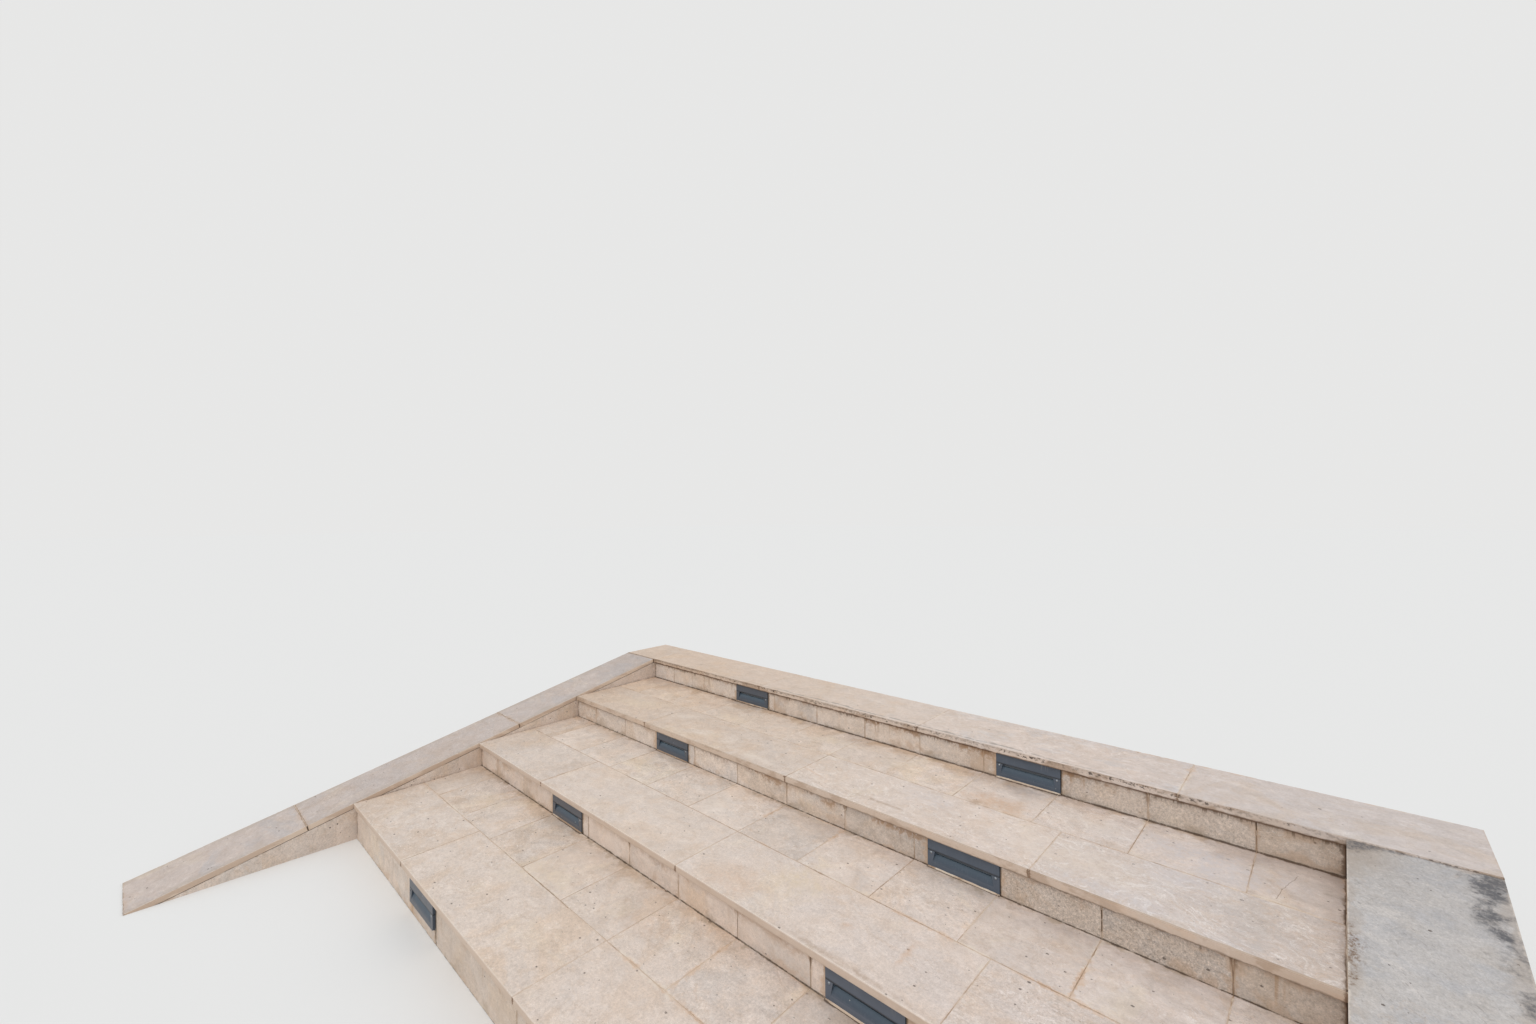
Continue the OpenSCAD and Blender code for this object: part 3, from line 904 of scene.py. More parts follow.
# %% Group: drips that run down from an edge
# A drip follows the line where a noise stretched along Z crosses its middle value.
drips, given, result = new_group("drips", {
    "Place": None,
    "Below edge": 0.0,
    "Length": 0.06,
    "Spacing": 0.03,
    "Width": 0.05,
    "Share": 0.5,
})
wander = cloud(stretched(given["Place"], 1.0, 1.0, 0.07), 1.0 / given["Spacing"], 2.0, 0.5, 0.2)
thin_line = fade(abs(wander - 0.5) / given["Width"], 1.0, 0.3)
level_place = stretched(given["Place"], 1.0, 1.0, 0.0, (9.0, 2.0, 0.0))
dry = given["Share"] * -0.4 + 0.7
wet = fade(cloud(level_place, 9.0, 3.0, 0.6) - dry, 0.0, 0.08)
local_length = given["Length"] * cloud(level_place, 45.0, 2.0, 0.6) * 2.0
along = given["Below edge"] / local_length
feed(result, {"Mask": thin_line * wet * fade(along, 1.0, 0.35)})
print("drips group:", len(drips.nodes), "nodes")

# %% Group: colonies of black lichen and mould
lichen, given, result = new_group("lichen", {
    "Place": None,
    "Cover": 0.0,
    "Spot size": 0.006,
    "Softness": 0.1,
})
fine_growth = cloud(given["Place"], 1.0 / given["Spot size"], 4.0, 0.7)
grown = fine_growth * 0.5 + cloud(given["Place"], 14.0, 6.0, 0.68)
bare = given["Cover"] * -0.70 + 1.15
colony = fade(grown - bare, 0.0, given["Softness"])
thin_parts = fade(fine_growth, 0.25, 0.60) * 0.5 + 0.5
feed(result, {"Mask": colony * thin_parts * fade(given["Cover"], 0.0, 0.1)})
print("lichen group:", len(lichen.nodes), "nodes")

# %% [markdown]
# ## Tools for every stone
#
# The materials below are all built alike. A stone begins with the limestone group and its
# own look, then stains are laid over it one at a time, each through a mask, and last the
# Principled shader gets the colour, the roughness and the relief.

# %% Helpers for materials
def new_material(name):
    """A material, and the place on the object in metres as its first signal."""
    material = bpy.data.materials.new(name)
    material.use_nodes = True
    return material, put("TexCoord", output="Object", tree=material.node_tree)


def mesh_value(place, title):
    """A number that the mesh carries at each point."""
    return put("Attribute", output="Fac", tree=place.tree, attribute_name=title)


def split(place):
    """A place's X, Y and Z."""
    return put("SeparateXYZ", {0: place})


def finish(material, colour, roughness, height, relief_mm, **settings):
    """Feeds the Principled shader with a colour, a roughness and a relief."""
    bump = put("Bump", {"Distance": relief_mm / 1000.0, "Height": height})
    feed(material.node_tree.nodes["Principled BSDF"], {
        "Base Color": colour, "Roughness": roughness, "Normal": bump, **settings})


def finish_stone(material, stone, colour, rough, pitted, relief_mm, specular):
    """Finishes a stone, which is rougher in its pits."""
    finish(material, colour, stone["Pit"] * pitted + rough, stone["Height"], relief_mm,
           **{"Specular IOR Level": specular})

# %% Helpers for a stone's look and its stains
HALF_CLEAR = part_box("mortar_1")[1].x
LIGHT_MIDDLE = 0.780
LIGHT_HALF = 0.126


def look(base=None, **changes):
    """Inputs of the limestone group: those of another look, with changes."""
    named = {title.replace("_", " ").capitalize(): value for title, value in changes.items()}
    return {**(base or {}), **named}


def stone_at(place, given_look):
    """The limestone group, cut for the slab that the place is on."""
    return use_group(limestone, {
        "Place": place, "Slab": mesh_value(place, "slab"), **given_look})


def band(place, distance, reach, ragged, patch, cover):
    """The ragged band's mask. Its reach and the size of its patches are in metres."""
    return use_group(ragged_band, {
        "Place": place, "Distance": distance, "Reach": reach, "Raggedness": ragged,
        "Patch size": patch, "Cover": cover})


def patches(place, size, share):
    """Soft-edged patches of a size in metres, over about a share of the surface."""
    limit = 0.62 - 0.24 * share
    return fade(cloud(place, 1.0 / size, 4.0, 0.6), limit, limit + 0.07)


def from_light(side):
    """How far along the flight a point is from the middle of the nearest light."""
    return abs(abs(side) - LIGHT_MIDDLE)


def from_end(side):
    """How far along the flight a point is from the nearest coping."""
    return HALF_CLEAR - abs(side)


print("clear width", round(2 * HALF_CLEAR, 3), "m")

# %% [markdown]
# ## Stone of the treads
#
# The treads are the cleanest stone: feet keep them so, but for the corner at the back, the
# ends beside the copings, and the joints, which rust in the mortar has stained. The
# nosing's front was sawn and never walked on, so it is browner, and its arris is worn to a
# light line. A painted cast of light tints the stone cooler towards the right end of the
# flight and warmer at the left of the upper treads.
#
# Larger stains are single things, which no noise would put in the right place. Each is one
# row of a short list: where it is, how long and how wide, its turn, its colour and its
# strength. A soft oval torn by noise makes it look soaked in.

# %% Old stains on the treads
RUST_MARK = (0.62, 0.42, 0.29)
SLATE_MARK = (0.48, 0.435, 0.415)
STRAW_MARK = (0.70, 0.575, 0.42)
BROWN_MARK = (0.40, 0.29, 0.21)
PALE_MARK = (0.76, 0.665, 0.585)
LILAC_MARK = (0.605, 0.565, 0.575)
MARKS = [
    (0.74, 0.86, 0.17, 0.075, 0, RUST_MARK, 0.75),
    (0.68, 0.81, 0.05, 0.040, 0, BROWN_MARK, 0.60),
    (0.76, 1.02, 0.17, 0.070, 0, SLATE_MARK, 0.55),
    (0.41, 0.572, 0.13, 0.012, 0, BROWN_MARK, 0.85),
    (0.06, 0.612, 0.12, 0.010, -14, RUST_MARK, 0.55),
    (-0.25, 0.67, 0.20, 0.040, -38, SLATE_MARK, 0.40),
    (1.53, 0.64, 0.11, 0.22, 20, SLATE_MARK, 0.50),
    (1.08, 0.66, 0.30, 0.17, 0, PALE_MARK, 0.55),
    (0.38, 0.14, 0.14, 0.110, 20, STRAW_MARK, 0.60),
    (0.20, 0.00, 0.16, 0.095, 15, RUST_MARK, 0.40),
    (0.82, 0.09, 0.016, 0.060, 0, RUST_MARK, 0.75),
    (0.63, 0.07, 0.022, 0.024, 0, RUST_MARK, 0.75),
    (0.70, -0.064, 0.34, 0.014, 0, BROWN_MARK, 0.60),
    (-0.23, 0.32, 0.090, 0.095, 0, PALE_MARK, 0.70),
    (0.77, 0.46, 0.17, 0.060, 0, SLATE_MARK, 0.40),
    (-1.05, 0.10, 0.09, 0.15, 0, BROWN_MARK, 0.20),
    (-0.55, -0.33, 0.13, 0.10, 30, STRAW_MARK, 0.45),
    (0.00, -0.22, 0.16, 0.07, 10, RUST_MARK, 0.28),
    (-1.30, 0.68, 0.22, 0.09, 20, STRAW_MARK, 0.50),
    (-0.95, 0.95, 0.16, 0.07, 0, RUST_MARK, 0.35),
    (-1.25, -0.20, 0.14, 0.08, 0, STRAW_MARK, 0.45),
    (-0.85, 0.36, 0.12, 0.10, 0, STRAW_MARK, 0.45),
    (-0.10, 0.95, 0.14, 0.08, 10, STRAW_MARK, 0.45),
    (0.30, 0.95, 0.10, 0.10, 0, STRAW_MARK, 0.35),
    (-0.66, 0.61, 0.12, 0.055, 15, PALE_MARK, 0.80),
    (-0.47, 0.62, 0.11, 0.060, -20, PALE_MARK, 0.80),
    (-0.25, 0.56, 0.18, 0.038, 0, PALE_MARK, 0.75),
    (-0.94, 0.69, 0.12, 0.050, 25, PALE_MARK, 0.60),
    (-0.70, 0.85, 0.14, 0.070, 0, STRAW_MARK, 0.50),
    (1.24, 0.55, 0.24, 0.050, 0, LILAC_MARK, 0.65),
    (1.36, 0.76, 0.18, 0.100, 20, LILAC_MARK, 0.55),
    (0.55, 0.72, 0.20, 0.080, -15, LILAC_MARK, 0.45),
    (1.40, 0.93, 0.34, 0.110, 0, LILAC_MARK, 0.75),
    (1.05, 0.93, 0.22, 0.080, 0, PALE_MARK, 0.55),
]
ANY_HEIGHT = 1000.0


def add_marks(place, colour):
    """Old stains: soft ovals, sized in metres and turned in degrees, torn by clouds."""
    torn = cloud(place, 16.0, 6.0, 0.66, 0.6) * 2.4
    density = fade(cloud(place, 55.0, 5.0, 0.70), 0.34, 0.64) * 0.75 + 0.25
    for x, y, long, wide, turn, stain, strength in MARKS:
        in_oval = put("Mapping", {
            "Vector": place, "Location": (x, y, 0.0), "Rotation": (0.0, 0.0, math.radians(turn)),
            "Scale": (long, wide, ANY_HEIGHT)}, vector_type="TEXTURE")
        from_middle = put("VectorMath", {0: in_oval}, "Value", operation="LENGTH")
        oval = fade(torn + from_middle - 1.2, 1.15, 0.0)
        colour = blend(oval * density * strength, colour, stain)
    return colour


print(len(MARKS), "old stains")

# %% A cracked corner
CRACK = (0.26, 0.180, 0.125)
CRACK_FROM = (1.602, 1.004)
CRACK_TO = (1.5625, 0.821)
CRACK_LENGTH = math.dist(CRACK_FROM, CRACK_TO)
CRACK_TURN = math.atan2(CRACK_TO[1] - CRACK_FROM[1], CRACK_TO[0] - CRACK_FROM[0])
CRACK_HALF_WIDTH = 0.0013


def add_crack(place, colour):
    """A hairline crack across the corner of a slab, from one edge to the other."""
    on_line = split(put("Mapping", {
        "Vector": place, "Location": (*CRACK_FROM, 0.0),
        "Rotation": (0.0, 0.0, CRACK_TURN)}, vector_type="TEXTURE"))
    wander = cloud(place, 14.0, 3.0, 0.5) - 0.5
    aside = abs(wander * 0.028 + on_line["Y"])
    half = CRACK_LENGTH / 2
    ends = fade(abs(on_line["X"] - half), half, half - 0.005)
    return blend(fade(aside, CRACK_HALF_WIDTH, 0.0003) * ends * 0.65, colour, CRACK)


print("crack", round(CRACK_LENGTH, 3), "m long")

# %% Joints of the treads
FILLER = (0.74, 0.645, 0.555)
ORANGE_STAIN = (0.68, 0.47, 0.32)
RUST_CORE = (0.46, 0.28, 0.17)
TAN_STAIN = (0.52, 0.36, 0.24)


def stain_joints(place, elsewhere, colour, joint, side):
    """Filler smeared over the joint, rust beside it, and the crack between the slabs."""
    smear = band(elsewhere, joint, reach=0.009, ragged=0.9, patch=0.03, cover=0.7)
    colour = blend(smear * patches(elsewhere, 0.22, 0.45), colour, FILLER)
    rusting = fade(side, -0.5, 0.2) * 0.28 + 0.20
    rusted = patches(place, 0.35, 0.22)
    rust = band(place, joint, reach=0.010, ragged=1.0, patch=0.03, cover=rusting)
    colour = blend(rust * rusted, colour, ORANGE_STAIN)
    core = band(elsewhere, joint, reach=0.006, ragged=1.0, patch=0.012, cover=rusting)
    colour = blend(core * rusted * patches(place, 0.05, 0.5), colour, RUST_CORE)
    tan = band(place, joint, reach=0.0030, ragged=0.9, patch=0.025, cover=0.30)
    colour = blend(tan, colour, TAN_STAIN)
    crack = band(elsewhere, joint, reach=0.0010, ragged=0.8, patch=0.02, cover=0.6)
    return blend(crack * patches(place, 0.12, 0.35), colour, CRACK)

# %% Fronts of the nosings
SAWN = (0.575, 0.450, 0.355)
FRONT_BROWN = (0.36, 0.245, 0.165)
LOWER_EDGE_DIRT = (0.120, 0.075, 0.047)
BESIDE_JOINT_DIRT = (0.215, 0.130, 0.082)
RUBBED = (0.88, 0.865, 0.85)
WORN = (0.76, 0.67, 0.585)


def add_front_dirt(place, colour, front, joint, lip, height):
    """Brown clouds on a nosing's front, and a broken brown line along its lower edge."""
    higher = fade(height, 0.22, 0.54)
    drawn_out = stretched(place, 0.45, 1.0, 1.0)
    brown = patches(drawn_out, 0.07, 0.45) * front * (higher * 0.55 + 0.08)
    colour = blend(brown, colour, FRONT_BROWN)
    rusty = patches(moved(drawn_out, 3.0, 1.0, 1.0), 0.05, 0.2) * front * higher * 0.28
    colour = blend(rusty, colour, ORANGE_STAIN)
    from_foot = lip + (SLAB_THICK - NOSING_ARRIS)
    lower_line = band(place, from_foot, reach=0.0042, ragged=0.6, patch=0.05, cover=0.9)
    colour = blend(lower_line * (higher * 0.90 + 0.02), colour, LOWER_EDGE_DIRT)
    beside = band(place, joint, reach=0.0060, ragged=0.9, patch=0.015, cover=0.85)
    return blend(beside * front, colour, BESIDE_JOINT_DIRT)


def dress_nosing(place, colour, joint, lip, height, high, sawn_share):
    """The nosing's sawn front with its dirt, and the light line of its arris."""
    front = fade(lip - high * 0.0085, -0.0003, -0.0020)
    colour = blend(front * sawn_share, colour, SAWN)
    colour = add_front_dirt(place, colour, front, joint, lip, height)
    colour = shade(front * fade(lip, -0.0004, 0.0004) * high, colour, RUBBED)
    worn = band(place, lip, reach=0.0032, ragged=0.4, patch=0.03, cover=0.35)
    return blend(worn * (1.0 - high), colour, WORN)

# %% Wet corner at the back of a tread
BROWN_HAZE = (0.84, 0.77, 0.69)
COOL_HAZE = (0.84, 0.825, 0.825)
OLIVE_STAIN = (0.38, 0.290, 0.205)
DIRT = (0.095, 0.058, 0.036)
BEAD_REACH = 0.0072


def stain_corner(place, elsewhere, colour, side, high):
    """A wide haze, a brown stain and a narrow dark line, which passes before the beads."""
    corner = mesh_value(place, "corner")
    haze = band(place, corner, reach=0.080, ragged=0.8, patch=0.16, cover=1.0)
    haze_colour = blend(patches(elsewhere, 0.30, 0.55), COOL_HAZE, BROWN_HAZE)
    colour = shade(haze * (high * 0.45 + 0.60), colour, haze_colour)
    stain = band(elsewhere, corner, reach=0.026, ragged=1.0, patch=0.05, cover=0.6)
    colour = blend(stain * patches(place, 0.20, 0.6), colour, OLIVE_STAIN)
    at_light = fade(from_light(side), LIGHT_HALF + 0.004, LIGHT_HALF)
    from_line = corner - at_light * BEAD_REACH - high * 0.0060
    line_reach = high * 0.0042 + 0.0050
    line = band(place, from_line, reach=line_reach, ragged=0.5, patch=0.03, cover=1.0)
    colour = blend(line * (high * 0.03 + 0.85), colour, DIRT)
    splash = band(elsewhere, corner, reach=0.010, ragged=1.0, patch=0.02, cover=0.7)
    return blend(splash * patches(place, 0.10, 0.25), colour, DIRT)

# %% Dust at the ends of a tread
def add_end_dust(place, colour, side):
    """Dust and a dark line beside the copings, where nobody treads."""
    distance = from_end(side)
    dusty = band(place, distance, reach=0.30, ragged=0.5, patch=0.4, cover=0.38)
    colour = shade(dusty, colour, BROWN_HAZE)
    dark_end = band(place, distance, reach=0.010, ragged=0.7, patch=0.04, cover=0.7)
    colour = blend(dark_end, colour, CRACK)
    open_joint = band(place, distance, reach=0.0065, ragged=0.6, patch=0.05, cover=0.95)
    return blend(open_joint * patches(place, 0.26, 0.6), colour, DIRT)

# %% Mould along the landing's nosing
MOULD = (0.045, 0.030, 0.021)
MOULD_VEIL = (0.16, 0.105, 0.068)
MOULD_BELOW = (0.135, 0.080, 0.048)
FAR_LEFT_SHADE = (0.78, 0.73, 0.68)
SMUDGE = (0.25, 0.22, 0.20)


def add_mould(place, colour, side, lip):
    """Dots of mould in a row along the landing's nosing, thickest on the left."""
    leftwards = fade(side, 1.7, 0.2)
    strength = leftwards * 0.35 + 0.60
    veil = band(place, lip + 0.001, reach=0.0070, ragged=0.9, patch=0.04, cover=0.34)
    colour = blend(veil * strength * (leftwards * 0.7 + 0.3), colour, MOULD_VEIL)
    row = band(place, lip + 0.0040, reach=0.0110, ragged=0.4, patch=0.07, cover=1.0)
    grouped = patches(place, 0.12, 0.5) * 0.6 + 0.4
    growth = cloud(stretched(place, 0.75, 1.0, 1.0), 105.0, 3.0, 0.62)
    dots = fade(growth, 0.505, 0.570) * row * grouped * (leftwards * 0.30 + 0.72)
    colour = blend(dots, colour, MOULD)
    below = band(place, lip + 0.0222, reach=0.0058, ragged=0.8, patch=0.04, cover=0.80)
    colour = blend(below * strength, colour, MOULD_BELOW)
    far_left = fade(side, -0.9, -1.5) * fade(lip, 0.010, -0.001)
    colour = shade(far_left * 0.6, colour, FAR_LEFT_SHADE)
    smudge_line = cloud(place, 5.0, 4.0, 0.6) * 0.05 + 0.003
    smudge = band(place, lip - smudge_line, reach=0.0060, ragged=1.0, patch=0.05, cover=0.6)
    middle = fade(side, -1.0, -0.4) * fade(side, 1.4, 0.6)
    return blend(smudge * middle, colour, SMUDGE)

# %% Material of a tread or the landing
PAINTED_COOL_LIGHT = (1.0, 0.995, 1.015)
PAINTED_COOLER_LIGHT = (0.965, 0.985, 1.010)
PAINTED_WARM_LIGHT = (0.955, 0.900, 0.835)
LANDING_PAINTED_COOL_LIGHT = (0.94, 0.965, 0.99)


def tread_material(name, given_look, is_landing=False):
    """Limestone with all that feet, rain and rust have left on it."""
    material, place = new_material(name)
    elsewhere = moved(place, 2.3, 5.1, 0.7)
    parts = split(place)
    side, height = parts["X"], parts["Z"]
    high = fade(height, 0.31, 0.42)
    joint, lip, bed = [mesh_value(place, title) for title in ("joint", "lip", "bed")]
    stone = stone_at(place, {
        **given_look, "Streaks": bed + given_look["Streaks"],
        "Flakes": bed * 0.70 + given_look["Flakes"]})
    # Painted light: a cooler cast towards the right end, and a warmer one at the left of the
    # upper treads.
    colour = shade(fade(side, -0.4, 1.4), stone["Color"], PAINTED_COOL_LIGHT)
    colour = shade(fade(side, 0.8, 1.5), colour, PAINTED_COOLER_LIGHT)
    colour = shade(fade(side, 0.6, -1.5) * fade(height, 0.28, 0.43), colour, PAINTED_WARM_LIGHT)
    if not is_landing:
        colour = add_crack(place, add_marks(place, colour))
    colour = stain_joints(place, elsewhere, colour, joint, side)
    sawn_share = 0.38 if is_landing else 0.80
    colour = dress_nosing(place, colour, joint, lip, height, high, sawn_share)
    colour = stain_corner(place, elsewhere, colour, side, high)
    if is_landing:
        # Painted light: the landing's right end gets a cooler cast.
        colour = shade(fade(side, 0.9, 1.8), colour, LANDING_PAINTED_COOL_LIGHT)
        colour = add_mould(place, colour, side, lip)
    else:
        colour = add_end_dust(place, colour, side)
    finish_stone(material, stone, colour, 0.72, 0.2, 0.5, 0.35)
    return material

# %% Treads and landing dressed
TREAD_LOOK = look(
    ground=(0.675, 0.577, 0.508), warm=(0.650, 0.515, 0.410), cool=(0.605, 0.552, 0.525),
    warm_share=0.65, cool_share=0.38, tone_swing=0.08, clouds=0.28, blotches=0.34,
    flakes=0.34, streaks=0.10, grain=0.11, specks=0.5, pinholes=0.60)
REAR_LOOK = look(
    TREAD_LOOK, cool=(0.618, 0.558, 0.518), warm_share=0.90, cool_share=0.40,
    tone_swing=0.12, clouds=0.50, flakes=0.42, streaks=0.26, pinholes=1.0)
LANDING_LOOK = look(
    ground=(0.660, 0.560, 0.492), warm=(0.648, 0.516, 0.412), cool=(0.612, 0.560, 0.532),
    warm_share=0.60, cool_share=0.6, tone_swing=0.06, clouds=0.30, blotches=0.38,
    flakes=0.20, streaks=0.10, grain=0.08, specks=0.3, pinholes=0.25)

front_stone = tread_material("front tread stone", TREAD_LOOK)
rear_stone = tread_material("rear tread stone", REAR_LOOK)
landing_stone = tread_material("landing stone", LANDING_LOOK, is_landing=True)
for front, rear in zip(front_treads, rear_treads):
    front.data.materials.append(front_stone)
    rear.data.materials.append(rear_stone)
landing.data.materials.append(landing_stone)
print("treads and landing dressed")

# %% [markdown]
# ## Stone of the risers
#
# No feet clean a riser. It is more speckled than a tread, tan at its joints, and rain that
# runs off the nosing draws brown drips from its top edge. Under the nosing a dark line is
# painted, part dirt and part shadow. The right-hand end dries more slowly, has aged more
# than the left and is greyer.

# %% Joints and foot of a riser
JOINT_CRACK = (0.17, 0.115, 0.078)
END_DIRT = (0.150, 0.095, 0.060)


def stain_riser_joints(place, elsewhere, colour, edge, joint, old):
    """Tan that has leached from the mortar, and the crack between two slabs."""
    tanned = band(place, edge, reach=0.030, ragged=0.9, patch=0.08, cover=0.45)
    colour = blend(tanned * patches(elsewhere, 0.25, 0.45), colour, TAN_STAIN)
    tan = band(elsewhere, joint, reach=0.0030, ragged=0.8, patch=0.05, cover=0.5)
    colour = blend(tan, colour, TAN_STAIN)
    crack = band(elsewhere, joint, reach=0.0016, ragged=0.5, patch=0.03, cover=1.0)
    return blend(crack * (old * 0.35 + 0.50), colour, JOINT_CRACK)


def stain_riser_foot(place, elsewhere, colour, side, above_tread):
    """A dark line beside the copings, and what splashes up from the tread."""
    end_line = band(elsewhere, from_end(side), reach=0.0150, ragged=0.5, patch=0.03, cover=0.85)
    colour = blend(end_line, colour, END_DIRT)
    stain = band(elsewhere, above_tread, reach=0.030, ragged=1.0, patch=0.10, cover=0.45)
    colour = blend(stain * patches(place, 0.20, 0.30), colour, OLIVE_STAIN)
    foot_line = band(place, above_tread, reach=0.0024, ragged=0.7, patch=0.03, cover=0.8)
    return blend(foot_line, colour, DIRT)

# %% Drips, rust and painted shadow under a nosing
LONG_RUN = (0.40, 0.25, 0.14)
SHORT_RUN = (0.17, 0.115, 0.075)
JOINT_RUN = (0.22, 0.140, 0.085)
RUST_CLOUD = (0.36, 0.215, 0.120)
TOP_LINE_DIRT_AND_SHADOW = (0.185, 0.112, 0.068)


def draw_drips(place, elsewhere, colour, under_nosing, top_dirt_and_shadow, drip_share):
    """A few long pale runs and many short dark ones."""
    long_runs = use_group(drips, {
        "Place": place, "Below edge": under_nosing, "Length": 0.085, "Spacing": 0.035,
        "Width": 0.05, "Share": 0.3})
    colour = blend(long_runs * (top_dirt_and_shadow * 0.55 + 0.10), colour, LONG_RUN)
    short_runs = use_group(drips, {
        "Place": elsewhere, "Below edge": under_nosing, "Length": 0.020, "Spacing": 0.016,
        "Width": 0.07, "Share": drip_share})
    return blend(short_runs * 0.7, colour, SHORT_RUN)


def rust_under_nosing(place, elsewhere, colour, under_nosing, joint, side, top_dirt_and_shadow):
    """Brown runs down the joints, rusty clouds in the middle, and the dark line at the top, part
    dirt and part painted shadow under the nosing.
    """
    near_joint = band(place, joint, reach=0.010, ragged=0.8, patch=0.04, cover=0.75)
    near_top = band(elsewhere, under_nosing, reach=0.045, ragged=0.6, patch=0.2, cover=1.0)
    joint_run = near_joint * near_top * patches(elsewhere, 0.35, 0.45)
    colour = blend(joint_run, colour, JOINT_RUN)
    rusty = band(elsewhere, under_nosing, reach=0.027, ragged=1.0, patch=0.025, cover=1.0)
    rusty = rusty * patches(place, 0.16, 0.55) * top_dirt_and_shadow * 0.8
    middle = fade(side, -0.6, -0.1) * fade(side, 1.5, 0.9)
    colour = blend(rusty * middle, colour, RUST_CLOUD)
    # The line at the top is part dirt and part painted shadow under the nosing's overhang.
    dirt_and_shadow_line = band(place, under_nosing, reach=0.0088, ragged=0.22, patch=0.04, cover=top_dirt_and_shadow)
    return blend(dirt_and_shadow_line, colour, TOP_LINE_DIRT_AND_SHADOW)

# %% Stone beside a light
GAP_SHADOW_AND_DIRT = (0.062, 0.050, 0.038)


def stain_beside_lights(place, elsewhere, colour, side):
    """Tan on both sides of a plate, and a dark band on its right, part painted shadow and part
    dirt.
    """
    from_plate = abs(from_light(side) - LIGHT_HALF)
    beside_plate = band(place, from_plate, reach=0.026, ragged=0.7, patch=0.06, cover=0.60)
    colour = blend(beside_plate, colour, TAN_STAIN)
    # A dark band to the right of each plate, wider beside the left lights: part painted shadow of
    # the plate's side, part dirt.
    nearest_light = maths("SIGN", side) * LIGHT_MIDDLE
    right_of_plate = side - nearest_light - LIGHT_HALF
    gap_reach = fade(side, 0.3, -0.3) * 0.0090 + 0.0090
    gap_shadow_and_dirt = band(elsewhere, right_of_plate, gap_reach, ragged=0.25, patch=0.05, cover=0.85)
    return blend(gap_shadow_and_dirt * fade(right_of_plate, -0.002, 0.0), colour, GAP_SHADOW_AND_DIRT)

# %% Material of a riser
OLD_STONE = (0.765, 0.757, 0.748)


def riser_material(name, given_look, drip_share, top_dirt_and_shadow, aged):
    """Limestone that nobody treads on, aged towards its right-hand end."""
    material, place = new_material(name)
    elsewhere = moved(place, 7.3, 1.1, 3.7)
    side = split(place)["X"]
    old = fade(side, -0.3, 0.9) * aged
    stone = stone_at(place, {
        **given_look, "Grain": old * 0.12 + given_look["Grain"],
        "Flakes": old * 0.45 + given_look["Flakes"]})
    joint, under_nosing, above_tread = [
        mesh_value(place, title) for title in ("joint", "lip", "corner")]
    edge = smallest(under_nosing, above_tread, joint)
    colour = shade(old, stone["Color"], OLD_STONE)
    colour = stain_riser_joints(place, elsewhere, colour, edge, joint, old)
    colour = draw_drips(place, elsewhere, colour, under_nosing, top_dirt_and_shadow, drip_share)
    colour = rust_under_nosing(place, elsewhere, colour, under_nosing, joint, side, top_dirt_and_shadow)
    colour = stain_beside_lights(place, elsewhere, colour, side)
    colour = stain_riser_foot(place, elsewhere, colour, side, above_tread)
    finish_stone(material, stone, colour, 0.82, 0.1, 0.8, 0.3)
    return material

# %% Risers dressed
RISER_LOOK = look(
    ground=(0.708, 0.610, 0.532), warm=(0.660, 0.525, 0.410), cool=(0.620, 0.568, 0.535),
    warm_share=0.65, cool_share=0.5, tone_swing=0.12, clouds=0.45, blotches=0.26,
    flakes=0.30, streaks=0.1, grain=0.17, specks=0.5, pinholes=0.25)
SMOOTH_LOOK = look(
    RISER_LOOK, ground=(0.720, 0.605, 0.525), warm=(0.680, 0.530, 0.410),
    cool=(0.650, 0.585, 0.540), flakes=0.20, streaks=0.12, grain=0.10, pinholes=0.20)
FIRST_LOOK = look(
    SMOOTH_LOOK, ground=(0.630, 0.525, 0.445), warm=(0.600, 0.470, 0.360),
    cool=(0.580, 0.515, 0.465))

riser_stones = {
    1: riser_material("first riser stone", FIRST_LOOK, drip_share=0.1, top_dirt_and_shadow=0.3, aged=0.0),
    2: riser_material("second riser stone", SMOOTH_LOOK, drip_share=0.2, top_dirt_and_shadow=0.5, aged=0.2),
    3: riser_material("third riser stone", RISER_LOOK, drip_share=0.35, top_dirt_and_shadow=0.85, aged=1.0),
    4: riser_material("top riser stone", RISER_LOOK, drip_share=0.7, top_dirt_and_shadow=0.95, aged=0.6),
}
for k, course in zip(RISERS, risers):
    course.data.materials.append(riser_stones[k])
print("risers dressed")

# %% [markdown]
# ## Stone of the copings
#
# The copings take the most weather. They are darker and greyer than the treads, pitted, and
# black lichen sits along their outer edges. Their sawn sides kept the tan of new stone.

# %% Sides, edges and joints of a coping
SAWN_BROWN = (0.560, 0.420, 0.318)
SAWN_TAN = (0.680, 0.540, 0.425)
DASH = (0.24, 0.215, 0.205)
EDGE_DUST = (0.43, 0.36, 0.30)


def facing(place):
    """The way that the surface faces, as X, Y and Z."""
    return split(put("NewGeometry", output="True Normal", tree=place.tree))


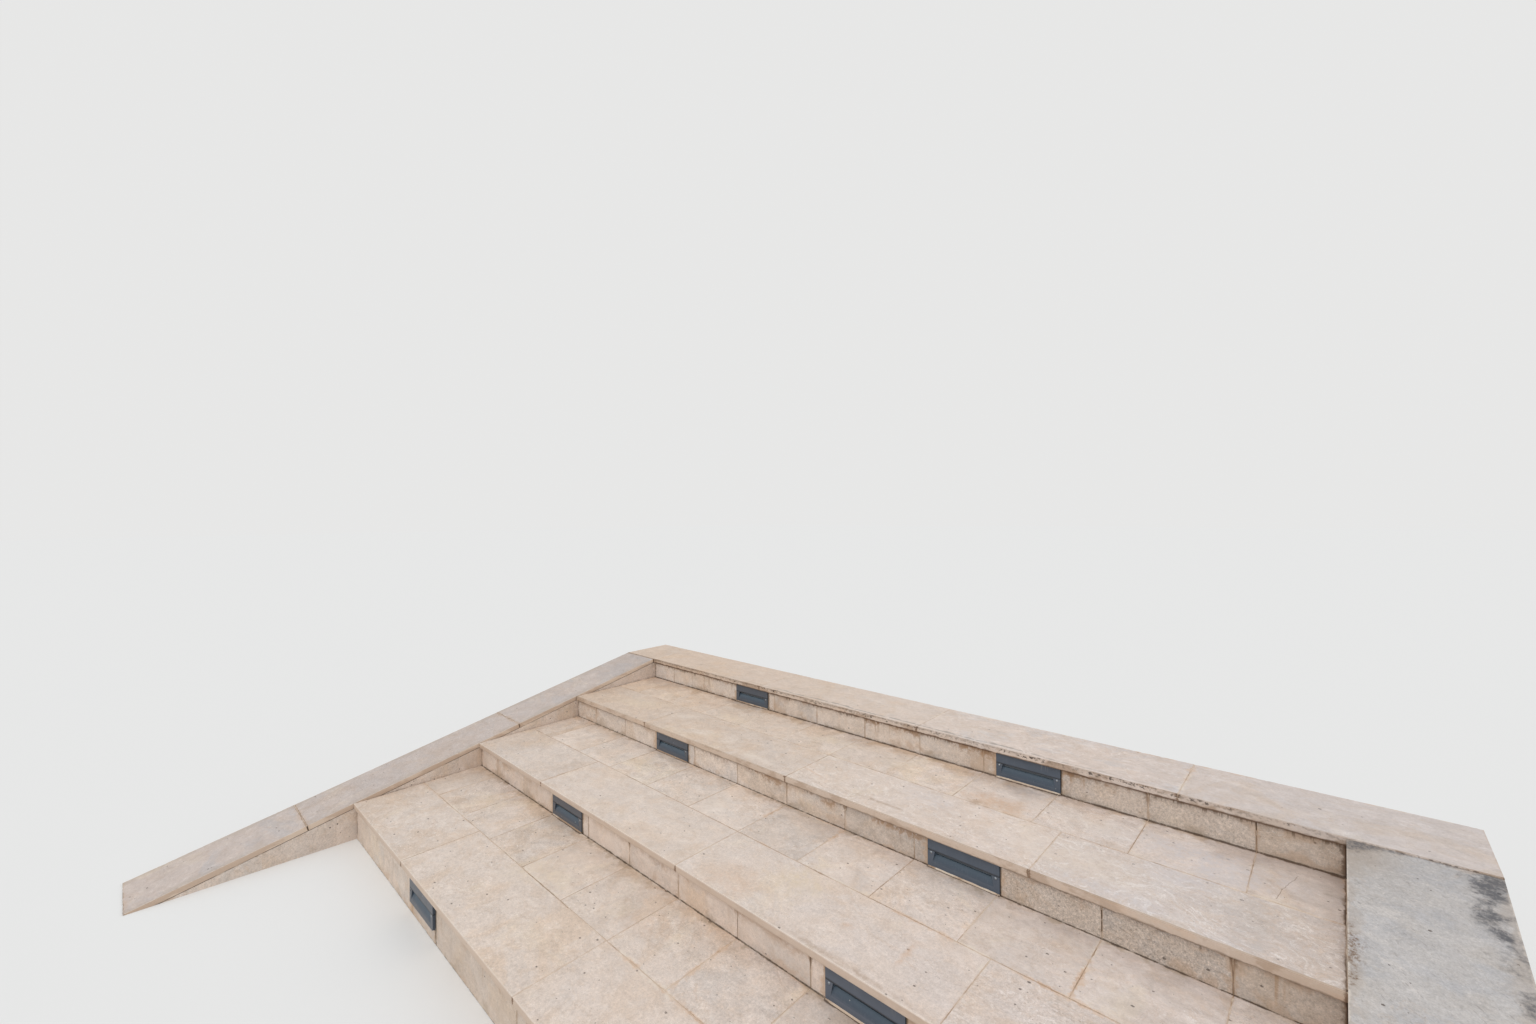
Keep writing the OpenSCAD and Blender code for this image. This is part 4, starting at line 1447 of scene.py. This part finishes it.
def dress_coping_edges(place, colour, joint, edge, upright, level, dash_amount):
    """Tan sawn sides, slanting dark dashes, joints, and the dusty and the worn edge."""
    sawn_side = patches(stretched(place, 1.0, 1.0, 3.0), 0.25, 0.5)
    sawn_colour = blend(sawn_side, SAWN_BROWN, SAWN_TAN)
    colour = blend(upright * 0.92, colour, sawn_colour)
    slanting = put("Mapping", {"Vector": place, "Rotation": (0.0, 0.0, 0.9)})
    dashes = cloud(stretched(slanting, 0.32, 1.0, 1.0), 120.0, 3.0, 0.6)
    dashes = fade(dashes, 0.60, 0.72) * level * dash_amount
    colour = blend(dashes, colour, DASH)
    tan = band(place, joint, reach=0.012, ragged=1.0, patch=0.06, cover=0.28)
    colour = blend(tan, colour, TAN_STAIN)
    crack = band(place, joint, reach=0.0030, ragged=0.9, patch=0.03, cover=0.7)
    colour = blend(crack, colour, CRACK)
    dusty = band(place, edge, reach=0.04, ragged=1.0, patch=0.15, cover=0.4)
    colour = blend(dusty * level, colour, EDGE_DUST)
    worn = band(place, edge, reach=0.004, ragged=0.7, patch=0.02, cover=0.5)
    return blend(worn * level, colour, WORN)

# %% Lichen on a coping
HEAD_END = 1.0725
HEAD_CORNER = (0.36, 0.275, 0.205)
HEAD_TONE = (0.20, 0.185, 0.185)
BROWN_LICHEN = (0.200, 0.130, 0.085)
LICHEN_VEIL = (0.22, 0.18, 0.155)
BLACK_LICHEN = (0.085, 0.088, 0.100)


def grow(place, cover, spot_size, softness):
    """The lichen group's mask."""
    return use_group(lichen, {
        "Place": place, "Cover": cover, "Spot size": spot_size, "Softness": softness})


def grow_lichen(place, colour, inner, outer, level, lichen_amount, inner_lichen):
    """Black along the outer edge and the head, and a brown patch on the inner edge."""
    heading = split(place)["Y"]
    reach = fade(heading, 0.40, 1.08) * 0.078 + 0.026
    swept = fade(outer, 0.004, 0.030) * 0.12 + 0.88
    clumps = cloud(stretched(place, 1.0, 0.8, 1.0, (0.4, 1.7, 0.0)), 9.0, 3.0, 0.6)
    clumps = fade(clumps, 0.40, 0.54) * 0.36 + 0.70
    along_edge = fade(outer / reach, 1.6, 0.3) * lichen_amount * fade(heading, -0.3, 0.7)
    inner_patch = fade(inner, 0.075, 0.0) * inner_lichen
    inner_patch = inner_patch * fade(abs(heading - 0.63), 0.24, 0.05)

    from_head = HEAD_END - heading
    head_corner = fade(inner, 0.14, 0.03) * fade(from_head, 0.16, 0.04)
    colour = blend(head_corner * inner_lichen * level * 0.5, colour, HEAD_CORNER)
    head_tone = fade(from_head, 0.42, 0.02) * level * 0.14
    colour = blend(head_tone, colour, HEAD_TONE)
    across_head = fade(inner, 0.11, 0.02) * 0.075 + 0.024
    at_head = fade(from_head / across_head, 1.4, 0.1) * lichen_amount * 0.85

    brown_dots = fade(cloud(place, 130.0, 3.0, 0.7), 0.42, 0.56) * 0.70 + 0.22
    brown = grow(place, inner_patch * 0.93, spot_size=0.008, softness=0.26)
    colour = blend(brown * brown_dots, colour, BROWN_LICHEN)
    cover = largest(along_edge * swept * clumps, inner_patch * 0.55, at_head)
    veil = grow(place, cover, spot_size=0.030, softness=0.60)
    colour = blend(veil * 0.45, colour, LICHEN_VEIL)
    colonies = grow(place, cover, spot_size=0.010, softness=0.40)
    return blend(colonies * 0.85, colour, BLACK_LICHEN)

# %% Material of a coping
def coping_material(name, given_look, lichen_amount, inner_lichen, dash_amount):
    """Limestone under the open sky. Its lip and corner are its inner and outer edge."""
    material, place = new_material(name)
    stone = stone_at(place, given_look)
    joint, inner, outer = [mesh_value(place, title) for title in ("joint", "lip", "corner")]
    upright = fade(facing(place)["Z"], 0.6, 0.3)
    level = 1.0 - upright
    edge = smallest(inner, outer)
    colour = dress_coping_edges(place, stone["Color"], joint, edge, upright, level, dash_amount)
    colour = grow_lichen(place, colour, inner, outer, level, lichen_amount, inner_lichen)
    finish_stone(material, stone, colour, 0.85, 0.1, 0.8, 0.3)
    return material

# %% Copings dressed
COPING_LOOK = look(
    ground=(0.540, 0.468, 0.432), warm=(0.515, 0.412, 0.345), cool=(0.468, 0.435, 0.430),
    warm_share=0.6, cool_share=0.5, tone_swing=0.06, clouds=0.22, blotches=0.28,
    flakes=0.12, streaks=0.12, grain=0.10, specks=0.4, pinholes=0.5)
GREY_COPING_LOOK = look(
    COPING_LOOK, ground=(0.512, 0.487, 0.475), warm=(0.490, 0.446, 0.410),
    cool=(0.450, 0.443, 0.455), cool_share=0.8, flakes=0.22, streaks=0.10, grain=0.16,
    specks=0.6, pinholes=0.6)

left_stone = coping_material("left coping stone", COPING_LOOK, 0.30, 0.0, 0.15)
right_stone = coping_material("right coping stone", GREY_COPING_LOOK, 1.0, 0.95, 0.45)
copings["left"].data.materials.append(left_stone)
copings["right"].data.materials.append(right_stone)
print("copings dressed")

# %% [markdown]
# ## Mortar, concrete and facing stone
#
# These stay as the CAD made them. Mortar is sand in lime: a fine grain, tan where iron has
# leached, cream where it was filled again, and almost black in the corner at the foot of a
# riser. The cheek walls are faced with rougher stone than the treads. A CAD node carries no
# numbers for its slabs, so the number is worked out from the place: it changes every
# 270 mm along a wall.

# %% Mortar
MORTAR = (0.62, 0.49, 0.38)
DAMP_MORTAR = (0.38, 0.26, 0.175)
NEW_MORTAR = (0.70, 0.59, 0.48)
SAND = (0.70, 0.60, 0.50)
BED_DARK_PATCH = (0.075, 0.055, 0.042)


def add_foot_dirt(place, colour):
    """Wet black dirt in the joint at the foot of every riser."""
    depth_place = split(place)["Y"]
    near_feet = []
    for k in RISERS:
        from_foot = abs(depth_place - (riser_face[k] - 0.001))
        near_feet.append(fade(from_foot, 0.006, 0.004))
    return blend(largest(*near_feet) * 0.9, colour, DIRT)


def mortar_material(name, has_tone=False, dark_share=0.0):
    """Sand in lime. The mesh may carry its own tone, and near-black patches may cover a share of
    it.
    """
    material, place = new_material(name)
    sand = cloud(place, 700.0, 3.0, 0.8)
    damp = cloud(place, 9.0, 4.0, 0.65)
    refilled = cloud(moved(place, 3.0, 1.0, 2.0), 13.0, 4.0, 0.65)
    if has_tone:
        own_tone = mesh_value(place, "tone") - 0.5
        damp = own_tone * 0.22 + damp
        refilled = own_tone * -0.22 + refilled
    colour = blend(fade(damp, 0.48, 0.62), MORTAR, DAMP_MORTAR)
    colour = blend(fade(refilled, 0.50, 0.62), colour, NEW_MORTAR)
    colour = blend(fade(sand, 0.58, 0.76), colour, SAND)
    if dark_share:
        # Near-black patches over a share of the mortar.
        colour = blend(patches(place, 0.22, dark_share) * 0.88, colour, BED_DARK_PATCH)
    if not has_tone:
        colour = add_foot_dirt(place, colour)
    finish(material, colour, sand * 0.1 + 0.85, sand, 0.6)
    return material


mortar = mortar_material("mortar")
bed_mortar = mortar_material("coping bed mortar", dark_share=0.9)
pointing = mortar_material("pointing", has_tone=True)
filler_mesh.materials.append(pointing)
bead_mesh.materials.append(pointing)
print("mortars mixed")

# %% Facing stone
FACING_LENGTH = 0.27
NUMBER_STEP = 0.137
FACING_LOOK = look(
    ground=(0.700, 0.590, 0.512), warm=(0.650, 0.510, 0.395), cool=(0.620, 0.556, 0.505),
    warm_share=0.6, cool_share=0.5, tone_swing=0.1, clouds=0.3, blotches=0.34, flakes=0.30,
    streaks=0.1, grain=0.12, specks=0.6, pinholes=0.5)

facing_stone, place = new_material("facing stone")
along = split(place)
piece_number = maths("FLOOR", (along["Y"] + along["X"]) / FACING_LENGTH)
stone = use_group(limestone, {
    "Place": place, "Slab": piece_number * NUMBER_STEP, **FACING_LOOK})
finish_stone(facing_stone, stone, stone["Color"], 0.85, 0.1, 1.6, 0.3)
print("facing stone:", len(facing_stone.node_tree.nodes), "nodes")

# %% Concrete
CONCRETE_LOOK = look(
    slab=0.81, ground=(0.42, 0.40, 0.37), warm=(0.44, 0.39, 0.33), cool=(0.34, 0.33, 0.32),
    warm_share=0.4, cool_share=0.7, tone_swing=0.0, clouds=0.3, blotches=0.4, flakes=0.0,
    streaks=0.0, grain=0.12, specks=0.5, pinholes=0.8)

concrete, place = new_material("concrete")
stone = use_group(limestone, {"Place": place, **CONCRETE_LOOK})
finish_stone(concrete, stone, stone["Color"], 0.9, 0.05, 1.5, 0.25)
print("concrete:", len(concrete.node_tree.nodes), "nodes")

# %% CAD nodes dressed
def dress(node, material):
    """Gives a CAD node its finish."""
    mesh = nodes[node].data
    mesh.materials.clear()
    mesh.materials.append(material)


for name in nodes:
    if name.startswith("mortar_"):
        dress(name, mortar)
    elif name.endswith("_coping_bed"):
        dress(name, bed_mortar)
    elif "_face" in name:
        dress(name, facing_stone)
    elif name == "stair_core" or name.endswith("_cheek_wall"):
        dress(name, concrete)
print("mortar, facings and core dressed")

# %% [markdown]
# ## Step lights
#
# Each light is a cast plate with a satin, blue-grey powder coat. Powder coat has a faint
# orange-peel surface and chips to pale metal. The upright face holds a film of dust that
# greys it. The scoop, which faces the sky, gets painted light: it is bluer where it faces up
# and lighter towards the slot, and the face just above the slot gets a painted shadow under
# the hood. The plate, its hood and its scoop are exact in CAD, so they only take a finish.
# The housing behind is moulded plastic and the pane is frosted glass; both stay in the dark
# behind the slot.

# %% Powder coat, its film of dust and the painted light on its scoop
COAT = (0.050, 0.074, 0.106)
LEFT_DUST = (0.113, 0.117, 0.133)
RIGHT_DUST = (0.110, 0.130, 0.166)
SCOOP_LIT_HIGH = (0.082, 0.125, 0.164)
SCOOP_LIT_LOW = (0.038, 0.060, 0.084)
SHADED_SIDE = (0.80, 0.83, 0.86)
PLATE_FOOT, PLATE_HEAD = [corner.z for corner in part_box("light_plates_1")]

powder_coat, place = new_material("powder coat")
faces = facing(place)
parts = split(place)
side, height = parts["X"], parts["Z"]
in_plate = maths("MODULO", height - PLATE_FOOT, RISE)
on_right = fade(side, -0.4, 0.4)
dust = cloud(place, 22.0, 4.0, 0.6)
splashed = fade(height, 0.40, 0.12) * 0.62 + 0.12
faces_front = fade(faces["Y"], -0.97, -0.995)
film = (dust * 0.7 + splashed) * (faces_front * 0.8 + 0.2)
dust_colour = blend(on_right, LEFT_DUST, RIGHT_DUST)
colour = blend(film, COAT, dust_colour)
# Painted light on the scoop: bluer where it faces the sky, and lighter towards the slot.
faces_up = fade(faces["Z"], 0.15, 0.70)
sky_lit_scoop = blend(fade(in_plate, 0.012, 0.042), SCOOP_LIT_LOW, SCOOP_LIT_HIGH)
sky_lit_scoop = shade(on_right, sky_lit_scoop, SHADED_SIDE)
colour = blend(faces_up * 0.8, colour, sky_lit_scoop)
print("plates", round(PLATE_HEAD - PLATE_FOOT, 4), "m high")

# %% Powder coat, its streaks, its shaded hood and its chips
SLOT_HIGH = 0.0542
LIME_RUN = (0.26, 0.26, 0.25)
HOOD_SHADE = (0.016, 0.018, 0.021)
BARE_METAL = (0.42, 0.42, 0.40)

wiped = cloud(stretched(place, 1.0, 1.0, 0.10), 190.0, 3.0, 0.65)
colour = blend(fade(wiped, 0.50, 0.72) * 0.30, colour, dust_colour)
lime_runs = use_group(drips, {
    "Place": place, "Below edge": (PLATE_HEAD - PLATE_FOOT) - in_plate, "Length": 0.030,
    "Spacing": 0.030, "Width": 0.03, "Share": 0.35})
colour = blend(lime_runs * 0.35, colour, LIME_RUN)
# Painted shadow under the hood: the face is darkened in a band just above the slot, most at its
# edge.
above_slot = in_plate - SLOT_HIGH
painted_hood_shadow = fade(above_slot, 0.007, 0.000) * fade(above_slot, -0.002, 0.0)
colour = blend(painted_hood_shadow * 0.88, colour, HOOD_SHADE)
chipped = fade(cloud(place, 95.0, 2.0, 0.5), 0.735, 0.75)
colour = blend(chipped, colour, BARE_METAL)
peel = cloud(place, 900.0, 2.0, 0.5)
finish(powder_coat, colour, dust * 0.25 + 0.36, peel, 0.06)
print("powder coat:", len(powder_coat.node_tree.nodes), "nodes")

# %% Housing and glass
PLASTIC_DARK = (0.24, 0.24, 0.24)
PLASTIC_PALE = (0.32, 0.32, 0.31)
PANE = (0.125, 0.152, 0.182)

housing_plastic, place = new_material("housing plastic")
moulded = cloud(place, 400.0, 2.0, 0.5)
colour = blend(moulded, PLASTIC_DARK, PLASTIC_PALE)
finish(housing_plastic, colour, moulded * 0.1 + 0.4, moulded, 0.1)

frosted_glass, place = new_material("frosted glass")
frost = cloud(place, 1500.0, 2.0, 0.6)
finish(frosted_glass, PANE, frost * 0.2 + 0.4, frost, 0.05, **{"Transmission Weight": 0.15})

for k in RISERS:
    dress(f"light_plates_{k}", powder_coat)
    dress(f"light_housings_{k}", housing_plastic)
    dress(f"light_glass_{k}", frosted_glass)
print("lights dressed")

# %% [markdown]
# ## Screws of the lights
#
# Two stainless screws hold each plate, beside the scoop at half the plate's height. Each is
# a low domed head with a hexagon socket. A profile spun round an axis makes the dome, and
# the socket is the profile's last rings drawn with six sides. The left-hand screw of each
# light on the left is painted over.

# %% Shape of a screw head
SCREW_RADIUS = 0.0039
SCREW_HEIGHT = 0.0018
SCREW_FROM_END = 0.013
SCREW_SIDES = 24
DOME_SLOPES = (1.571, 1.3, 1.0, 0.7)
SOCKET_RADIUS = 0.0020
SOCKET_DEPTH = 0.0002
SIXTH = math.tau / 6


def screw_rings():
    """The head as rings: radius, height and whether it is hexagonal."""
    dome = [(SCREW_RADIUS * math.sin(a), SCREW_HEIGHT * math.cos(a), False) for a in DOME_SLOPES]
    return dome + [(SOCKET_RADIUS, SCREW_HEIGHT * 0.9, True), (SOCKET_RADIUS, SOCKET_DEPTH, True)]


def add_screw(shape, middle, turn):
    """Adds one screw head to a bmesh, facing along -Y."""
    rings = []
    for radius, height, is_hexagon in screw_rings():
        ring = []
        for i in range(SCREW_SIDES):
            angle = math.tau * i / SCREW_SIDES
            flat = math.cos(SIXTH / 2) / math.cos(angle % SIXTH - SIXTH / 2)
            reach = radius * flat if is_hexagon else radius
            x = reach * math.cos(angle + turn)
            z = reach * math.sin(angle + turn)
            ring.append(shape.verts.new(middle + Vector((x, -height, z))))
        rings.append(ring)
    for outer, inner in zip(rings, rings[1:]):
        for i in range(SCREW_SIDES):
            j = (i + 1) % SCREW_SIDES
            shape.faces.new((outer[i], outer[j], inner[j], inner[i]))
    shape.faces.new(rings[-1])
    shape.faces.new(rings[0][::-1])


print("a screw head has", len(screw_rings()), "rings")

# %% Stainless steel
STEEL = (0.50, 0.55, 0.60)
SMUDGED_STEEL = (0.34, 0.37, 0.40)

stainless, place = new_material("stainless screw")
smudge = cloud(place, 600.0, 3.0, 0.6)
painted = fade(split(place)["X"], -LIGHT_MIDDLE - 0.02, -LIGHT_MIDDLE - 0.04)
colour = blend(smudge, STEEL, SMUDGED_STEEL)
colour = blend(painted, colour, LEFT_DUST)
finish(stainless, colour, smudge * 0.25 + 0.2, smudge, 0.02, Metallic=1.0 - painted)
print("stainless screw:", len(stainless.node_tree.nodes), "nodes")

# %% Screws in their places
dice = random.Random("screws")
for k in RISERS:
    shape = bmesh.new()
    for low, high in solids_of(f"light_plates_{k}"):
        middle_z = (low.z + high.z) / 2
        for x in (low.x + SCREW_FROM_END, high.x - SCREW_FROM_END):
            add_screw(shape, Vector((x, low.y, middle_z)), dice.uniform(0.0, 1.0))
    bmesh.ops.recalc_face_normals(shape, faces=shape.faces)
    mesh = bpy.data.meshes.new(f"screws_{k}")
    shape.to_mesh(mesh)
    shape.free()
    mesh.materials.append(stainless)
    screws = into_scene(f"screws_{k}", mesh)
    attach(screws, "root")
print("screws on", len(RISERS), "risers")

# %% [markdown]
# ## Sizes
#
# The dressed part is meant to be as large as the CAD part, so both boxes are printed.

# %% Print the box of the dressed part
low, high = [list(map(float, corner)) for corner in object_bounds()]
print("visual box", [round(b - a, 4) for a, b in zip(low, high)])
